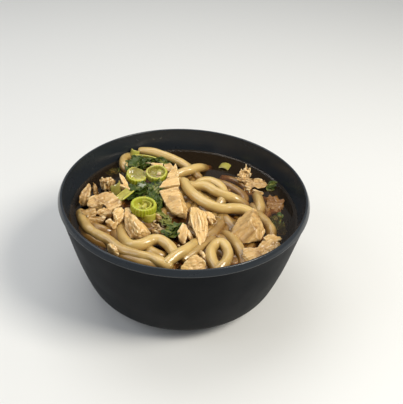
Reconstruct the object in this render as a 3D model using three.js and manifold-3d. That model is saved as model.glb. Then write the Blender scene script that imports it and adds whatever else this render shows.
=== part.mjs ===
// Udon noodle bowl: a round dark bowl of broth, a heap of thick noodles in it, and torn
// chicken, cut scallion and soft leaves on top.  Millimetres, +Z up.  The origin is the
// middle of the foot ring's underside; -Y is the near side of the bowl.

import * as THREE from 'three';
import { mergeVertices } from 'three/addons/utils/BufferGeometryUtils.js';
import Module from 'manifold-3d';

const wasm = await Module();
wasm.setup();

// ---- Driving dimensions -------------------------------------------------------------

const GAP = 0.3;                 // air between neighbouring pieces

// Bowl
const BOWL_HEIGHT = 85;
const LIP_RADIUS = 91.25;        // where the outer wall's line would meet the rim plane
const WALL = 3.45;               // wall thickness, measured level
const WALL_TAPER = 0.2045;       // how far the wall draws in for each mm of depth
const BELLY_DEPTH = 34.3;        // below this depth the wall also curves in
const BELLY_CURVE = 0.0021;
const TURN_HEIGHT = 19;          // where the wall turns under the bowl
const FOOT_RADIUS = 48;
const FOOT_WIDTH = 4;
const FOOT_HEIGHT = 4.5;
const FOOT_RECESS = 2.5;         // the bottom inside the foot ring stands this high
const FLOOR_HEIGHT = 8;          // bottom of the inside
const BEAD_DROP = 4;             // the bead lies this far under the rim
const BOWL_SIDES = 40;

// Contents
const BROTH_LEVEL = 66;
const NOODLE_WIDTH = 7.4;
const NOODLE_SIDES = 7;
const NOODLE_STEP = 7.7;         // length of one straight piece of a noodle
const HEAP_TOP = 68.6;           // height of the bare heap's middle
const HEAP_EDGE = 64;            // height of its rounded edge, under the broth
const HEAP_SIDES = 30;

const SCALLION_WALL = 1.6;
const PITH_THICKNESS = 1.4;
const PITH_DEPTH = 2.4;          // the pith lies this far under a slice's rim
const RING_SIDES = 14;
const LEAF_THICKNESS = 0.8;
const CHUNK_CUTS = 11;           // flat tears round a chunk of chicken
const LARGE_LOBE = 268;          // length times width of a lobe that gets finer facets

// How far the heap reaches from the bowl's middle, every 30 degrees from +X towards +Y.
const HEAP_REACH = [61, 45, 42, 62, 74, 67, 77, 76, 73, 71, 73, 66];

// ---- Finishes -----------------------------------------------------------------------

const finish = (colour, roughness) =>
  new THREE.MeshStandardMaterial({ color: colour, roughness, metalness: 0 });

const melamine = finish(0x2b2e31, 0.35);
const broth = finish(0x2e1d18, 0.08);
const dough = finish(0xd9bd84, 0.35);
const chicken = finish(0xcf9c62, 0.55);
const scallion = finish(0x8fae35, 0.35);
const paleScallion = finish(0xb9b75e, 0.35);
const leaf = finish(0x2f4a24, 0.4);

// ---- Solids -------------------------------------------------------------------------

// A closed three.js geometry as a solid that can be joined and cut.
function solidOf(geometry) {
  const bare = geometry.clone();
  bare.deleteAttribute('normal');
  bare.deleteAttribute('uv');
  const merged = mergeVertices(bare);
  return new wasm.Manifold(new wasm.Mesh({
    numProp: 3,
    vertProperties: new Float32Array(merged.attributes.position.array),
    triVerts: new Uint32Array(merged.index.array),
  }));
}

function geometryOf(solid) {
  const { vertProperties, triVerts } = solid.getMesh();
  const geometry = new THREE.BufferGeometry();
  geometry.setAttribute('position', new THREE.BufferAttribute(vertProperties, 3));
  geometry.setIndex(new THREE.BufferAttribute(triVerts, 1));
  geometry.computeVertexNormals();
  return geometry;
}

// The same solid with its skin moved out by a distance.
function grown(solid, distance = GAP * 1.25) {
  const geometry = geometryOf(solid);
  const { position, normal } = geometry.attributes;
  const point = new THREE.Vector3();
  const out = new THREE.Vector3();
  for (let i = 0; i < position.count; i += 1) {
    point.fromBufferAttribute(position, i);
    out.fromBufferAttribute(normal, i);
    point.addScaledVector(out, distance);
    position.setXYZ(i, point.x, point.y, point.z);
  }
  return solidOf(geometry);
}

// The largest connected body of a solid: scraps that a cut leaves loose are dropped.
function mainBody(solid) {
  const bodies = solid.decompose();
  return bodies.reduce((best, body) => (body.volume() > best.volume() ? body : best));
}

// A closed net of rings, each with the same number of corners, with a pole at either end.
function ringsBody(bottomPole, rings, topPole) {
  const sides = rings[0].length;
  const corners = [bottomPole, ...rings.flat(), topPole];
  const last = corners.length - 1;
  const index = [];
  for (let side = 0; side < sides; side += 1) {
    const next = (side + 1) % sides;
    index.push(0, 1 + next, 1 + side);
    index.push(last, last - sides + side, last - sides + next);
    for (let ring = 0; ring + 1 < rings.length; ring += 1) {
      const low = 1 + ring * sides;
      const high = low + sides;
      index.push(low + side, low + next, high + next);
      index.push(low + side, high + next, high + side);
    }
  }
  const geometry = new THREE.BufferGeometry();
  const places = corners.flatMap((corner) => corner.toArray());
  geometry.setAttribute('position', new THREE.Float32BufferAttribute(places, 3));
  geometry.setIndex(index);
  return geometry;
}

// Repeatable random numbers from 0 to 1.
function randomFrom(seed) {
  let state = (seed * 2654435761) >>> 0;
  return () => {
    state = (state * 1664525 + 1013904223) >>> 0;
    return state / 4294967296;
  };
}

// ---- Bowl ---------------------------------------------------------------------------

function outerRadius(z) {
  const depth = BOWL_HEIGHT - z;
  return LIP_RADIUS - WALL_TAPER * depth - BELLY_CURVE * Math.max(depth - BELLY_DEPTH, 0) ** 2;
}

const wallSlope = (z) =>
  WALL_TAPER + 2 * BELLY_CURVE * Math.max(BOWL_HEIGHT - z - BELLY_DEPTH, 0);

// Evenly spaced points up a wall, and the round turn from a level bottom into it.
const spaced = (from, to, count) =>
  Array.from({ length: count }, (_, i) => from + ((to - from) * i) / (count - 1));

function turnInto(wallAt, z, bottomZ, bottomRadius, steps) {
  const start = new THREE.Vector2(bottomRadius, bottomZ);
  const corner = new THREE.Vector2(wallAt(z) - wallSlope(z) * (z - bottomZ), bottomZ);
  const end = new THREE.Vector2(wallAt(z), z);
  return new THREE.QuadraticBezierCurve(start, corner, end).getPoints(steps);
}

// The free inside of the bowl from its floor to a height, drawn in by a clearance.
function insideProfile(top, clearance) {
  const wallAt = (z) => outerRadius(z) - WALL - clearance;
  const turnTop = TURN_HEIGHT + WALL;
  const floor = FLOOR_HEIGHT + clearance;
  return [
    new THREE.Vector2(0, floor),
    ...turnInto(wallAt, turnTop, floor, FOOT_RADIUS - FOOT_WIDTH, 3),
    ...spaced(turnTop, top, 4).slice(1).map((z) => new THREE.Vector2(wallAt(z), z)),
    new THREE.Vector2(0, top),
  ];
}

function bowlProfile() {
  const bead = BOWL_HEIGHT - BEAD_DROP;
  const outside = [
    new THREE.Vector2(0, FOOT_RECESS),
    new THREE.Vector2(FOOT_RADIUS - FOOT_WIDTH - 1, FOOT_RECESS),
    new THREE.Vector2(FOOT_RADIUS - FOOT_WIDTH, 0),
    new THREE.Vector2(FOOT_RADIUS, 0),
    ...turnInto(outerRadius, TURN_HEIGHT, FOOT_HEIGHT, FOOT_RADIUS + 1, 5),
    ...spaced(TURN_HEIGHT, bead - 1, 4).slice(1).map((z) => new THREE.Vector2(outerRadius(z), z)),
  ];
  const beadRadius = outerRadius(bead);
  const rim = [
    new THREE.Vector2(beadRadius + 0.3, bead),
    new THREE.Vector2(beadRadius, bead + 0.9),
    new THREE.Vector2(LIP_RADIUS - 2.3, BOWL_HEIGHT - 0.4),
    new THREE.Vector2(LIP_RADIUS - 2.8, BOWL_HEIGHT),
    new THREE.Vector2(LIP_RADIUS - WALL, BOWL_HEIGHT - 0.4),
  ];
  const inside = insideProfile(BOWL_HEIGHT - 2.4, 0).slice(0, -1).reverse();
  return [...outside, ...rim, ...inside];
}

// A turned body about the bowl's axis from a profile that starts and ends on it.
function turned(profile, sides) {
  return solidOf(new THREE.LatheGeometry(profile, sides).rotateX(Math.PI / 2));
}

// ---- Noodles ------------------------------------------------------------------------

function heapReach(angle) {
  const count = HEAP_REACH.length;
  const place = (((angle / (2 * Math.PI)) * count) % count + count) % count;
  const from = Math.floor(place);
  const share = (1 - Math.cos((place - from) * Math.PI)) / 2;
  return HEAP_REACH[from] * (1 - share) + HEAP_REACH[(from + 1) % count] * share;
}

// The bare heap: it stands on the bowl's floor and its top swells over the broth.
function heapCore() {
  const clearance = 2 * GAP;
  const angles = spaced(0, 2 * Math.PI, HEAP_SIDES + 1).slice(0, -1);
  const ringAt = (radius, height) => angles.map((angle) => {
    const r = radius(angle);
    return new THREE.Vector3(r * Math.cos(angle), r * Math.sin(angle), height(angle, r));
  });
  const insideAt = (z) => outerRadius(z) - WALL - clearance;
  const turnTop = TURN_HEIGHT + WALL;
  const sideHeights = [FLOOR_HEIGHT + clearance, turnTop, HEAP_EDGE];
  const limits = [FOOT_RADIUS - FOOT_WIDTH - clearance, insideAt(turnTop), insideAt(HEAP_EDGE)];
  const sides = sideHeights.map((z, i) =>
    ringAt((angle) => Math.min(heapReach(angle), limits[i]), () => z));
  const swell = (share) => HEAP_EDGE + (HEAP_TOP - HEAP_EDGE) * (1 - share ** 5);
  const tops = [0.96, 0.85, 0.6, 0.3].map((share) =>
    ringAt((angle) => share * heapReach(angle),
      (angle) => swell(share) + 0.5 * Math.sin(5 * angle + 9 * share)));
  const foot = new THREE.Vector3(0, 0, FLOOR_HEIGHT + clearance);
  return solidOf(ringsBody(foot, [...sides, ...tops], new THREE.Vector3(0, 0, HEAP_TOP)));
}

// A noodle along a smooth route through a few places of its middle line.
function noodle(route, width = NOODLE_WIDTH) {
  const path = new THREE.CatmullRomCurve3(route.map((at) => new THREE.Vector3(...at)));
  const section = new THREE.Shape();
  for (let side = 0; side < NOODLE_SIDES; side += 1) {
    const angle = (2 * Math.PI * side) / NOODLE_SIDES;
    const method = side === 0 ? 'moveTo' : 'lineTo';
    section[method]((width / 2) * Math.cos(angle), (width / 2) * Math.sin(angle));
  }
  const steps = Math.max(4, Math.round(path.getLength() / NOODLE_STEP));
  const swept = { steps, extrudePath: path, bevelEnabled: false };
  return solidOf(new THREE.ExtrudeGeometry(section, swept));
}

// Middle lines of the noodles that show on the heap, from the far side to the near side.
const noodleRoutes = [
  [[-40.5, 70, 71], [-32, 68, 72], [-22, 64, 72], [-11, 59, 71], [0, 51, 69]],
  [[-46.9, 66.8, 67], [-52.3, 63.7, 68], [-53.9, 54.8, 68], [-51, 48.9, 66.5]],
  [[-12, 35, 70], [-4.5, 40, 71.5], [1, 43, 72], [8, 50, 70]],
  [[6, 26, 68], [14, 31, 70], [23, 28, 70.5], [29, 19, 69.5], [28, 10, 68.5]],
  [[-6, 30, 69], [4, 23, 70], [14, 21, 72.5], [24, 14, 72], [36, 10, 70]],
  [[-2.1, 24.2, 73], [3.2, 11.7, 73.5], [10.4, 2.6, 73], [18.8, -3.5, 72.5], [27.7, -6.3, 72],
    [35.8, -4.8, 71.5], [44, -5.2, 71]],
  [[55.5, 21, 65.5], [56, 12, 67.5], [56.5, 2, 66.5]],
  [[51.7, 6.2, 65], [56.2, -6.7, 66.5], [60.8, -15.3, 67], [63.2, -22.5, 66.5]],
  [[28, -11.4, 64], [24.5, -23.3, 65.3], [19.5, -31.8, 65.5], [13.5, -36, 64.5]],
  [[32.4, -30.4, 66], [37.2, -38.8, 67], [40.4, -46.8, 66.8], [42.5, -53.7, 65.5]],
  [[-74, -16, 67], [-69.9, -25.9, 67.5], [-65.5, -33.6, 68], [-60.4, -38.1, 68], [-54.9, -42, 68],
    [-49.6, -45, 67.8], [-44, -49.9, 67.5], [-38.7, -54.1, 67.5]],
  [[-38.7, -54.1, 67.5], [-32.2, -57.1, 68], [-25.3, -59.6, 68.5], [-18.5, -61.5, 69],
    [-12.2, -64.9, 69]],
  [[-43.9, -24.9, 65.5], [-41.9, -35.2, 67], [-37.9, -45.4, 69], [-32.6, -51.2, 70.5],
    [-27.5, -51.8, 71], [-23.1, -49.7, 71.5], [-18.8, -46.1, 71.5]],
  [[-18.8, -46.1, 71.5], [-14.8, -45.3, 71.5], [-10.5, -48, 71.5], [-6.8, -51.7, 71],
    [-3.8, -56.4, 70]],
  [[-7, -65, 69.5], [-1.6, -59.1, 70.8], [4.6, -52.5, 70.4], [9.6, -44, 67.8], [13, -36.5, 65]],
  [[3.7, -58.3, 67], [9.4, -51.8, 67], [15.9, -43.4, 66.5]],
];

// The tight loop by the near rim, of a thinner noodle.
const LOOP_WIDTH = 5.8;
const LOOP_ROUTE = [
  [24, -65, 67.5], [20.5, -57, 69.5], [22, -47, 70], [27, -43.5, 70.5], [32, -50, 70],
  [31.5, -60, 69], [27, -66, 67.5],
];

// ---- Toppings -----------------------------------------------------------------------

// A torn chunk: a ball, more or less square, cut flat by random planes and then drawn out
// to its length, width and height.
function tornChunk(size, seed, square, detail) {
  const random = randomFrom(seed);
  const planes = Array.from({ length: CHUNK_CUTS }, () => {
    const z = 2 * random() - 1;
    const turn = 2 * Math.PI * random();
    const level = Math.sqrt(1 - z * z);
    const normal = new THREE.Vector3(level * Math.cos(turn), level * Math.sin(turn), z);
    return { normal, distance: 0.55 + 0.35 * random() };
  });
  const ball = new THREE.IcosahedronGeometry(1, detail);
  const { position } = ball.attributes;
  const way = new THREE.Vector3();
  for (let i = 0; i < position.count; i += 1) {
    way.fromBufferAttribute(position, i).normalize();
    const power = (value) => Math.abs(value) ** square;
    const whole = (power(way.x) + power(way.y) + power(way.z)) ** (-1 / square);
    const reach = planes.reduce((least, { normal, distance }) => {
      const facing = normal.dot(way);
      return facing > 0.05 ? Math.min(least, distance / facing) : least;
    }, whole);
    const fibre = 1 + 0.04 * Math.sin(9 * Math.atan2(way.z, way.y) + seed);
    way.multiplyScalar(reach * fibre);
    position.setXYZ(i, way.x, way.y, way.z);
  }
  ball.center();
  const span = ball.boundingBox.getSize(new THREE.Vector3());
  return ball.scale(size[0] / span.x, size[1] / span.y, size[2] / span.z);
}

// A thin sheet of even thickness over a surface given by u and v from 0 to 1.
function sheet(surface, thickness, along, across) {
  const step = 1e-3;
  const places = [];
  for (const side of [0.5, -0.5]) {
    for (let i = 0; i <= along; i += 1) {
      for (let j = 0; j <= across; j += 1) {
        const u = i / along;
        const v = j / across;
        const du = surface(u + step, v).sub(surface(u - step, v));
        const dv = surface(u, v + step).sub(surface(u, v - step));
        const normal = du.cross(dv).normalize();
        places.push(surface(u, v).addScaledVector(normal, side * thickness));
      }
    }
  }
  const count = (along + 1) * (across + 1);
  const at = (i, j) => i * (across + 1) + j;
  const index = [];
  for (let i = 0; i < along; i += 1) {
    for (let j = 0; j < across; j += 1) {
      const [a, b, c, d] = [at(i, j), at(i + 1, j), at(i + 1, j + 1), at(i, j + 1)];
      index.push(a, b, c, a, c, d);
      index.push(count + a, count + c, count + b, count + a, count + d, count + c);
    }
  }
  const edge = [];
  for (let i = 0; i < along; i += 1) edge.push(at(i, 0));
  for (let j = 0; j < across; j += 1) edge.push(at(along, j));
  for (let i = along; i > 0; i -= 1) edge.push(at(i, across));
  for (let j = across; j > 0; j -= 1) edge.push(at(0, j));
  edge.forEach((from, k) => {
    const to = edge[(k + 1) % edge.length];
    index.push(from, count + to, to, from, count + from, count + to);
  });
  const geometry = new THREE.BufferGeometry();
  const numbers = places.flatMap((place) => place.toArray());
  geometry.setAttribute('position', new THREE.Float32BufferAttribute(numbers, 3));
  geometry.setIndex(index);
  return geometry;
}

// A soft leaf lying in waves, blunt at both ends.
function leafBlade(length, width, seed) {
  const random = randomFrom(seed);
  const phase = 2 * Math.PI * random();
  const height = 1.2 + 0.8 * random();
  const surface = (u, v) => {
    const half = (width / 2) * (0.35 + 0.65 * Math.sin(Math.PI * u) ** 0.7);
    const x = (u - 0.5) * length;
    const y = (2 * v - 1) * half;
    return new THREE.Vector3(x, y, height * Math.sin(x / 3.2 + phase) * Math.cos(y / 4 + phase));
  };
  return sheet((u, v) => surface(THREE.MathUtils.clamp(u, 0, 1), v), LEAF_THICKNESS, 6, 3);
}

// A strip bent round Z, as a piece of a scallion's wall is; it can curl in to a smaller
// radius at its far end.
function bentStrip({ radius, endRadius = radius, degrees, height }) {
  const sweep = THREE.MathUtils.degToRad(degrees);
  const along = Math.max(4, Math.round(degrees / 25));
  return sheet((u, v) => {
    const angle = sweep * (u - 0.5);
    const r = radius + (endRadius - radius) * u;
    return new THREE.Vector3(r * Math.cos(angle), r * Math.sin(angle), height * (v - 0.5));
  }, SCALLION_WALL, along, 1);
}

// A round slice of scallion: its outer wall.
function scallionRing({ width, height }) {
  const outer = width / 2;
  const inner = outer - SCALLION_WALL;
  const profile = [
    new THREE.Vector2(inner, -height / 2),
    new THREE.Vector2(outer, -height / 2),
    new THREE.Vector2(outer, height / 2),
    new THREE.Vector2(inner, height / 2),
    new THREE.Vector2(inner, -height / 2),
  ];
  return new THREE.LatheGeometry(profile, RING_SIDES).rotateX(Math.PI / 2);
}

// A slice whose pith closes it, a little under its rim.
function pithySlice({ width, height }) {
  const outer = width / 2;
  const inner = outer - SCALLION_WALL;
  const top = height / 2;
  const profile = [
    new THREE.Vector2(0, top - PITH_DEPTH - PITH_THICKNESS),
    new THREE.Vector2(inner, top - PITH_DEPTH - PITH_THICKNESS),
    new THREE.Vector2(inner, -top),
    new THREE.Vector2(outer, -top),
    new THREE.Vector2(outer, top),
    new THREE.Vector2(inner, top),
    new THREE.Vector2(inner, top - PITH_DEPTH),
    new THREE.Vector2(0, top - PITH_DEPTH),
  ];
  return new THREE.LatheGeometry(profile, RING_SIDES).rotateX(Math.PI / 2);
}

// A thin shred: a spindle that is pointed at both ends.
function shred(length, width) {
  const angles = spaced(0, 2 * Math.PI, 6).slice(0, -1);
  const rings = [-0.3, 0, 0.3].map((share) => angles.map((angle) => {
    const r = (width / 2) * Math.cos(share * 3);
    return new THREE.Vector3(r * Math.cos(angle), r * Math.sin(angle), share * length);
  }));
  const tip = new THREE.Vector3(0, 0, length / 2);
  return ringsBody(tip.clone().negate(), rings, tip).rotateY(Math.PI / 2);
}

// A shape laid at its place: turned about Z, its +X end raised, rolled about its length.
function laid(geometry, { at, turn = 0, rise = 0, roll = 0 }) {
  const radians = [roll, -rise, turn].map(THREE.MathUtils.degToRad);
  const way = new THREE.Matrix4().makeRotationFromEuler(new THREE.Euler(...radians, 'ZYX'));
  return solidOf(geometry.clone().applyMatrix4(way.setPosition(...at)));
}

// Torn and sliced chicken.  A piece is one or more lobes grown together; each has its
// middle, its length, width and height, and how it lies.
const chickenPieces = [
  [
    { at: [-74, 0.5, 73.3], size: [18, 10, 13], turn: 75, roll: 12 },
    { at: [-68, 8.5, 74], size: [13, 6, 10], turn: 58, roll: -10 },
  ],
  [{ at: [-61, 19, 71.5], size: [14.5, 10, 9], turn: -8 }],
  [
    { at: [-65, -7, 74], size: [15, 14, 8], turn: 20, roll: 8 },
    { at: [-53.5, -7, 73.5], size: [16, 16, 8], turn: -30, roll: 8 },
  ],
  [{ at: [-63.5, -20, 70.3], size: [20, 11, 6], turn: -14, roll: 6 }],
  [
    { at: [-46, -20.5, 73.3], size: [12, 12, 8.5], turn: 30 },
    { at: [-48, -27, 71], size: [15, 10, 6.5], turn: -22 },
  ],
  [
    { at: [-31.5, -31.5, 74.5], size: [18, 15, 9], turn: -48, rise: -10 },
    { at: [-33, -39.5, 71], size: [11, 9, 9], turn: 20 },
  ],
  [
    { at: [-12, 36.5, 74.5], size: [12, 12, 8], turn: -60, square: 4 },
    { at: [-20, 41.5, 73], size: [9, 7, 5], turn: 15 },
  ],
  [{ at: [-13, 21, 75.2], size: [12, 17.5, 8], turn: -76, rise: -6, square: 5 }],
  [{ at: [-7.5, -5.5, 73.4], size: [30, 16, 9], turn: -68, rise: -16, square: 5 }],
  [
    { at: [0.3, -38, 72], size: [15, 7, 9], turn: -85 },
    { at: [5.5, -37.5, 71], size: [10, 6, 7], turn: -60 },
  ],
  [
    { at: [11, -31, 74.8], size: [34, 13, 9], turn: -82, rise: -11 },
    { at: [17.5, -17.5, 74.5], size: [18, 10, 6], turn: -52, rise: -8 },
  ],
  [
    { at: [45, -26, 71.5], size: [27, 21, 12], turn: 8 },
    { at: [48, -22.5, 75.4], size: [14, 13, 9], turn: 60 },
  ],
  [
    { at: [49.5, -47.5, 69.7], size: [19, 14, 9], turn: 30 },
    { at: [60, -39.5, 69.5], size: [20, 17, 8], turn: 45 },
  ],
  [{ at: [46.5, 51, 70.5], size: [13, 10, 9], turn: -5 }],
  [
    { at: [46, 38, 68.5], size: [17, 10, 5], turn: -4 },
    { at: [57, 35, 68.8], size: [16, 12, 6], turn: -20 },
  ],
  [{ at: [59, 25.5, 67], size: [17, 6, 4], turn: -8 }],
  [
    { at: [69, 11, 67.5], size: [16, 13, 7], turn: 6 },
    { at: [67, 4, 66.5], size: [15, 9, 4.5], turn: -6 },
  ],
  [
    { at: [8.5, -60.5, 70.5], size: [17, 11, 9], turn: 12 },
    { at: [15.5, -55.5, 69.5], size: [13, 7, 5], turn: -40 },
  ],
  [{ at: [-43.5, -56.5, 71], size: [10, 8, 8], turn: -55 }],
  [{ at: [-18, -29.5, 71.3], size: [11, 11, 5], turn: -30 }],
  [{ at: [-25.5, 49, 72.3], size: [12, 7, 4.5], turn: 5 }],
];

// Thin shreds that lie across each other and are torn from one piece.
const SHRED_WIDTH = 3.6;
const shreds = [
  { at: [-48.5, 18, 74.4], length: 17, turn: -61, rise: -14 },
  { at: [-47, 11.6, 73.2], length: 12, turn: -12, rise: -10 },
];

// Scallion: a round slice with the next layer curled up inside it.
const wholeSlice = {
  at: [-28.8, -15.3, 76], width: 18.4, height: 6.5, turn: 20, rise: -3,
};
const innerLayer = { radius: 7.2, endRadius: 2.2, degrees: 400, height: 5 };

// Thinner round slices closed by their pith, and pieces of a scallion's wall bent to part
// of a ring.
const pithySlices = [
  { at: [-24.2, 30.6, 75], width: 16.6, height: 5, roll: 10, skin: scallion },
  { at: [-39.8, 27.2, 73.4], width: 16, height: 4.6, roll: 6, turn: 6, rise: -10, skin: paleScallion },
];
const wallPieces = [
  { at: [-44.4, 1, 76.8], radius: 3.6, degrees: 140, height: 14.5, turn: 62, rise: -90 },
  { at: [-56, 12.5, 71.5], radius: 6, degrees: 120, height: 11, turn: -30, rise: 8 },
  { at: [-24.7, -19, 72], radius: 5, degrees: 150, height: 7, turn: -90, rise: 0 },
  { at: [-45, 66.5, 71.5], radius: 4, degrees: 150, height: 6, turn: -120, rise: 20 },
  { at: [30.3, 61, 61], radius: 6.5, degrees: 80, height: 9, turn: 70, rise: 90 },
  { at: [-41.1, 32.3, 66.8], radius: 30, degrees: 46, height: 4, turn: 76, rise: 8 },
];

// Soft dark leaves: middle, then length and width, and how they lie.
const leaves = [
  { at: [-41, 51, 70.8], size: [20, 13], turn: 25, rise: 6 },
  { at: [-24.5, 55, 70.5], size: [18, 9], turn: -12 },
  { at: [-36, 11, 71], size: [18, 11], turn: 25, rise: 8 },
  { at: [-22, 14, 71.2], size: [18, 10], turn: 80, rise: 8 },
  { at: [-21.5, -3, 71.2], size: [18, 10], turn: -65, rise: -6 },
  { at: [-13, -21.5, 70.5], size: [16, 6], turn: -62 },
  { at: [-6.8, -34, 70.8], size: [14, 11], turn: 55, rise: 6 },
  { at: [67.5, 34.8, 67.5], size: [9, 6], turn: 60, rise: 10 },
];

// ---- Assembly -----------------------------------------------------------------------

const numbered = (kind, i) => `${kind}_${String(i + 1).padStart(2, '0')}`;
const joined = (solids) => solids.reduce((all, solid) => all.add(solid));

const room = turned(insideProfile(BOWL_HEIGHT, GAP), BOWL_SIDES);
const core = heapCore();
const coreAround = grown(core);

// A topping rests on the bare heap and is cut clear of the toppings named before it.
const toppings = [];
function addTopping(name, material, solid) {
  const clear = toppings.reduce((body, { around }) => body.subtract(around), solid);
  const rested = mainBody(clear.subtract(coreAround).intersect(room));
  toppings.push({ name, material, solid: rested, around: grown(solid) });
}

const layers = [scallionRing(wholeSlice), bentStrip(innerLayer)];
addTopping('scallion_01', scallion, joined(layers.map((layer) => laid(layer, wholeSlice))));
pithySlices.forEach((piece, i) => {
  addTopping(numbered('scallion', i + 1), piece.skin, laid(pithySlice(piece), piece));
});
wallPieces.forEach((piece, i) => {
  const number = i + 1 + pithySlices.length;
  addTopping(numbered('scallion', number), paleScallion, laid(bentStrip(piece), piece));
});
chickenPieces.forEach((lobes, i) => {
  const solids = lobes.map((lobe, j) => {
    const detail = lobe.size[0] * lobe.size[1] > LARGE_LOBE ? 2 : 1;
    return laid(tornChunk(lobe.size, 10 * i + j + 1, lobe.square ?? 2.6, detail), lobe);
  });
  addTopping(numbered('chicken', i), chicken, joined(solids));
});
const crossed = shreds.map((one) => laid(shred(one.length, SHRED_WIDTH), one));
addTopping(numbered('chicken', chickenPieces.length), chicken, joined(crossed));
leaves.forEach((piece, i) => {
  addTopping(numbered('leaf', i), leaf, laid(leafBlade(...piece.size, i + 40), piece));
});

const withoutToppings = (solid) =>
  toppings.reduce((body, { around }) => body.subtract(around), solid);
const filling = turned(insideProfile(BROTH_LEVEL, GAP), BOWL_SIDES);
const soup = mainBody(withoutToppings(filling.subtract(coreAround)));

const loop = noodle(LOOP_ROUTE, LOOP_WIDTH);
const strands = joined([...noodleRoutes.map((route) => noodle(route)), loop]);
const wetHeight = BROTH_LEVEL + GAP;
const wet = solidOf(new THREE.BoxGeometry(200, 200, wetHeight).translate(0, 0, wetHeight / 2));
const dryStrands = withoutToppings(strands.intersect(room).subtract(wet));

// A named mesh with its own origin at the middle of its box.
function meshOf(name, material, solid) {
  const geometry = geometryOf(solid);
  geometry.computeBoundingBox();
  const middle = geometry.boundingBox.getCenter(new THREE.Vector3());
  geometry.translate(-middle.x, -middle.y, -middle.z);
  const mesh = new THREE.Mesh(geometry, material);
  mesh.name = name;
  mesh.position.copy(middle);
  return mesh;
}

const food = new THREE.Group();
food.add(meshOf('broth', broth, soup));
food.add(meshOf('noodles', dough, mainBody(core.add(dryStrands))));
toppings.forEach(({ name, material, solid }) => food.add(meshOf(name, material, solid)));

const udonBowl = new THREE.Group();
udonBowl.add(meshOf('bowl', melamine, turned(bowlProfile(), BOWL_SIDES)));
udonBowl.add(food);

export default udonBowl;
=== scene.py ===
import math
import random

import bpy
from bpy.props import FloatProperty, FloatVectorProperty, IntProperty, PointerProperty
from mathutils import Euler, Matrix, Quaternion, Vector


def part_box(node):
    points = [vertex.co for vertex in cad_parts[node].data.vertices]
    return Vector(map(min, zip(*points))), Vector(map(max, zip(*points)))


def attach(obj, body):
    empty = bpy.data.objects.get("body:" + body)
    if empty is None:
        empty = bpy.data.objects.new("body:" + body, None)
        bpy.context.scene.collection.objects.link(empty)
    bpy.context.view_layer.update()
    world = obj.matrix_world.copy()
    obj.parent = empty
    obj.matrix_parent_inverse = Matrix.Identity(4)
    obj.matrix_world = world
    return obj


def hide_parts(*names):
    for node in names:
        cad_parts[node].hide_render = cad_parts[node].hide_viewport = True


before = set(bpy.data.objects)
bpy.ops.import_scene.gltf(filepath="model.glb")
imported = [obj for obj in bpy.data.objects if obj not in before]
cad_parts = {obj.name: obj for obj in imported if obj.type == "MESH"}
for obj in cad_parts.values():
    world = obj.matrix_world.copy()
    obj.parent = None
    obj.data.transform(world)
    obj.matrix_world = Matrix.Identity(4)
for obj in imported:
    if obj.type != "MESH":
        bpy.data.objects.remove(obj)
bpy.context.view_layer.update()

bl_info = {
    "name": "Udon noodle bowl",
    "version": (1, 0, 0),
    "blender": (4, 5, 0),
    "location": "3D View > Sidebar > Udon Bowl",
    "description": "A dark bowl of udon noodles in broth with chicken, scallion and soft greens",
    "category": "Object",
}

MM = 0.001
BODY = "root"
RIM_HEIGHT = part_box("bowl")[1].z
BROTH_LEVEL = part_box("broth")[1].z


def rgb(code):
    """A colour written as sRGB hex, as the linear numbers that shaders take."""
    parts = [int(code[i:i + 2], 16) / 255 for i in (1, 3, 5)]
    linear = [p / 12.92 if p <= 0.04045 else ((p + 0.055) / 1.055) ** 2.4 for p in parts]
    return (*linear, 1.0)


def colour_property(name, description, code):
    """A colour on the panel, from sRGB hex."""
    return FloatVectorProperty(name=name, description=description, subtype="COLOR", size=4,
                               min=0, max=1, default=rgb(code))


def length_property(name, description, millimetres):
    """A length on the panel."""
    return FloatProperty(name=name, description=description, unit="LENGTH", subtype="DISTANCE",
                         default=millimetres * MM)


# ---- What a user would change ----


class BowlSettings(bpy.types.PropertyGroup):
    lip_radius: length_property(
        "Lip radius", "Where the outer wall's line meets the rim's level", 91.25)
    wall: length_property("Wall", "Thickness of the wall, measured level", 3.45)
    colour: colour_property("Melamine", "Colour of the bowl's outside", "#0d1014")
    # The inside colour, paler than the outside, is painted light: the light that falls into the
    # bowl, and a painted reflection on the rim.
    inside: colour_property("Melamine inside", "Colour of the bowl's inside and rim", "#24292e")
    roughness: FloatProperty(
        name="Roughness", description="How dull the bowl's moulded skin is",
        default=0.27, min=0, max=1, subtype="FACTOR")


class BrothSettings(bpy.types.PropertyGroup):
    tint: colour_property("Tint", "What a depth of broth lets through", "#c39355")
    cloud: colour_property("Cloud", "Colour of the fine matter that clouds the broth", "#b08f66")
    density: FloatProperty(
        name="Density", description="How fast the broth takes light away, for each metre",
        default=210.0, min=0)


class NoodleSettings(bpy.types.PropertyGroup):
    width: length_property("Width", "Thickness of a boiled noodle", 7.6)
    colour: colour_property("Noodle", "Colour of a noodle out of the broth", "#ccad69")
    # This brown is partly the broth's real stain and partly painted shade on the lower noodles of
    # the heap.
    soaked_and_shaded: colour_property("Soaked", "Colour of a noodle that the broth has stained", "#84602c")
    bed_count: IntProperty(
        name="Noodles in the bed", description="How many noodles fill the heap under those on top",
        default=70, min=1)


class ChickenSettings(bpy.types.PropertyGroup):
    meat: colour_property("Meat", "Colour of torn white meat", "#dfb978")
    # This pale colour on the crests of the meat is a painted highlight.
    edge: colour_property("Edges", "Colour of the meat's drier edges", "#f7e3b4")
    grain: colour_property("Grain", "Colour between the bundles of fibre", "#bf9150")
    # This brown is the real seasoning, and also painted shade in the creases.
    glaze_and_crease_shade: colour_property("Glaze", "Colour of the seasoned outside", "#744a0b")


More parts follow.
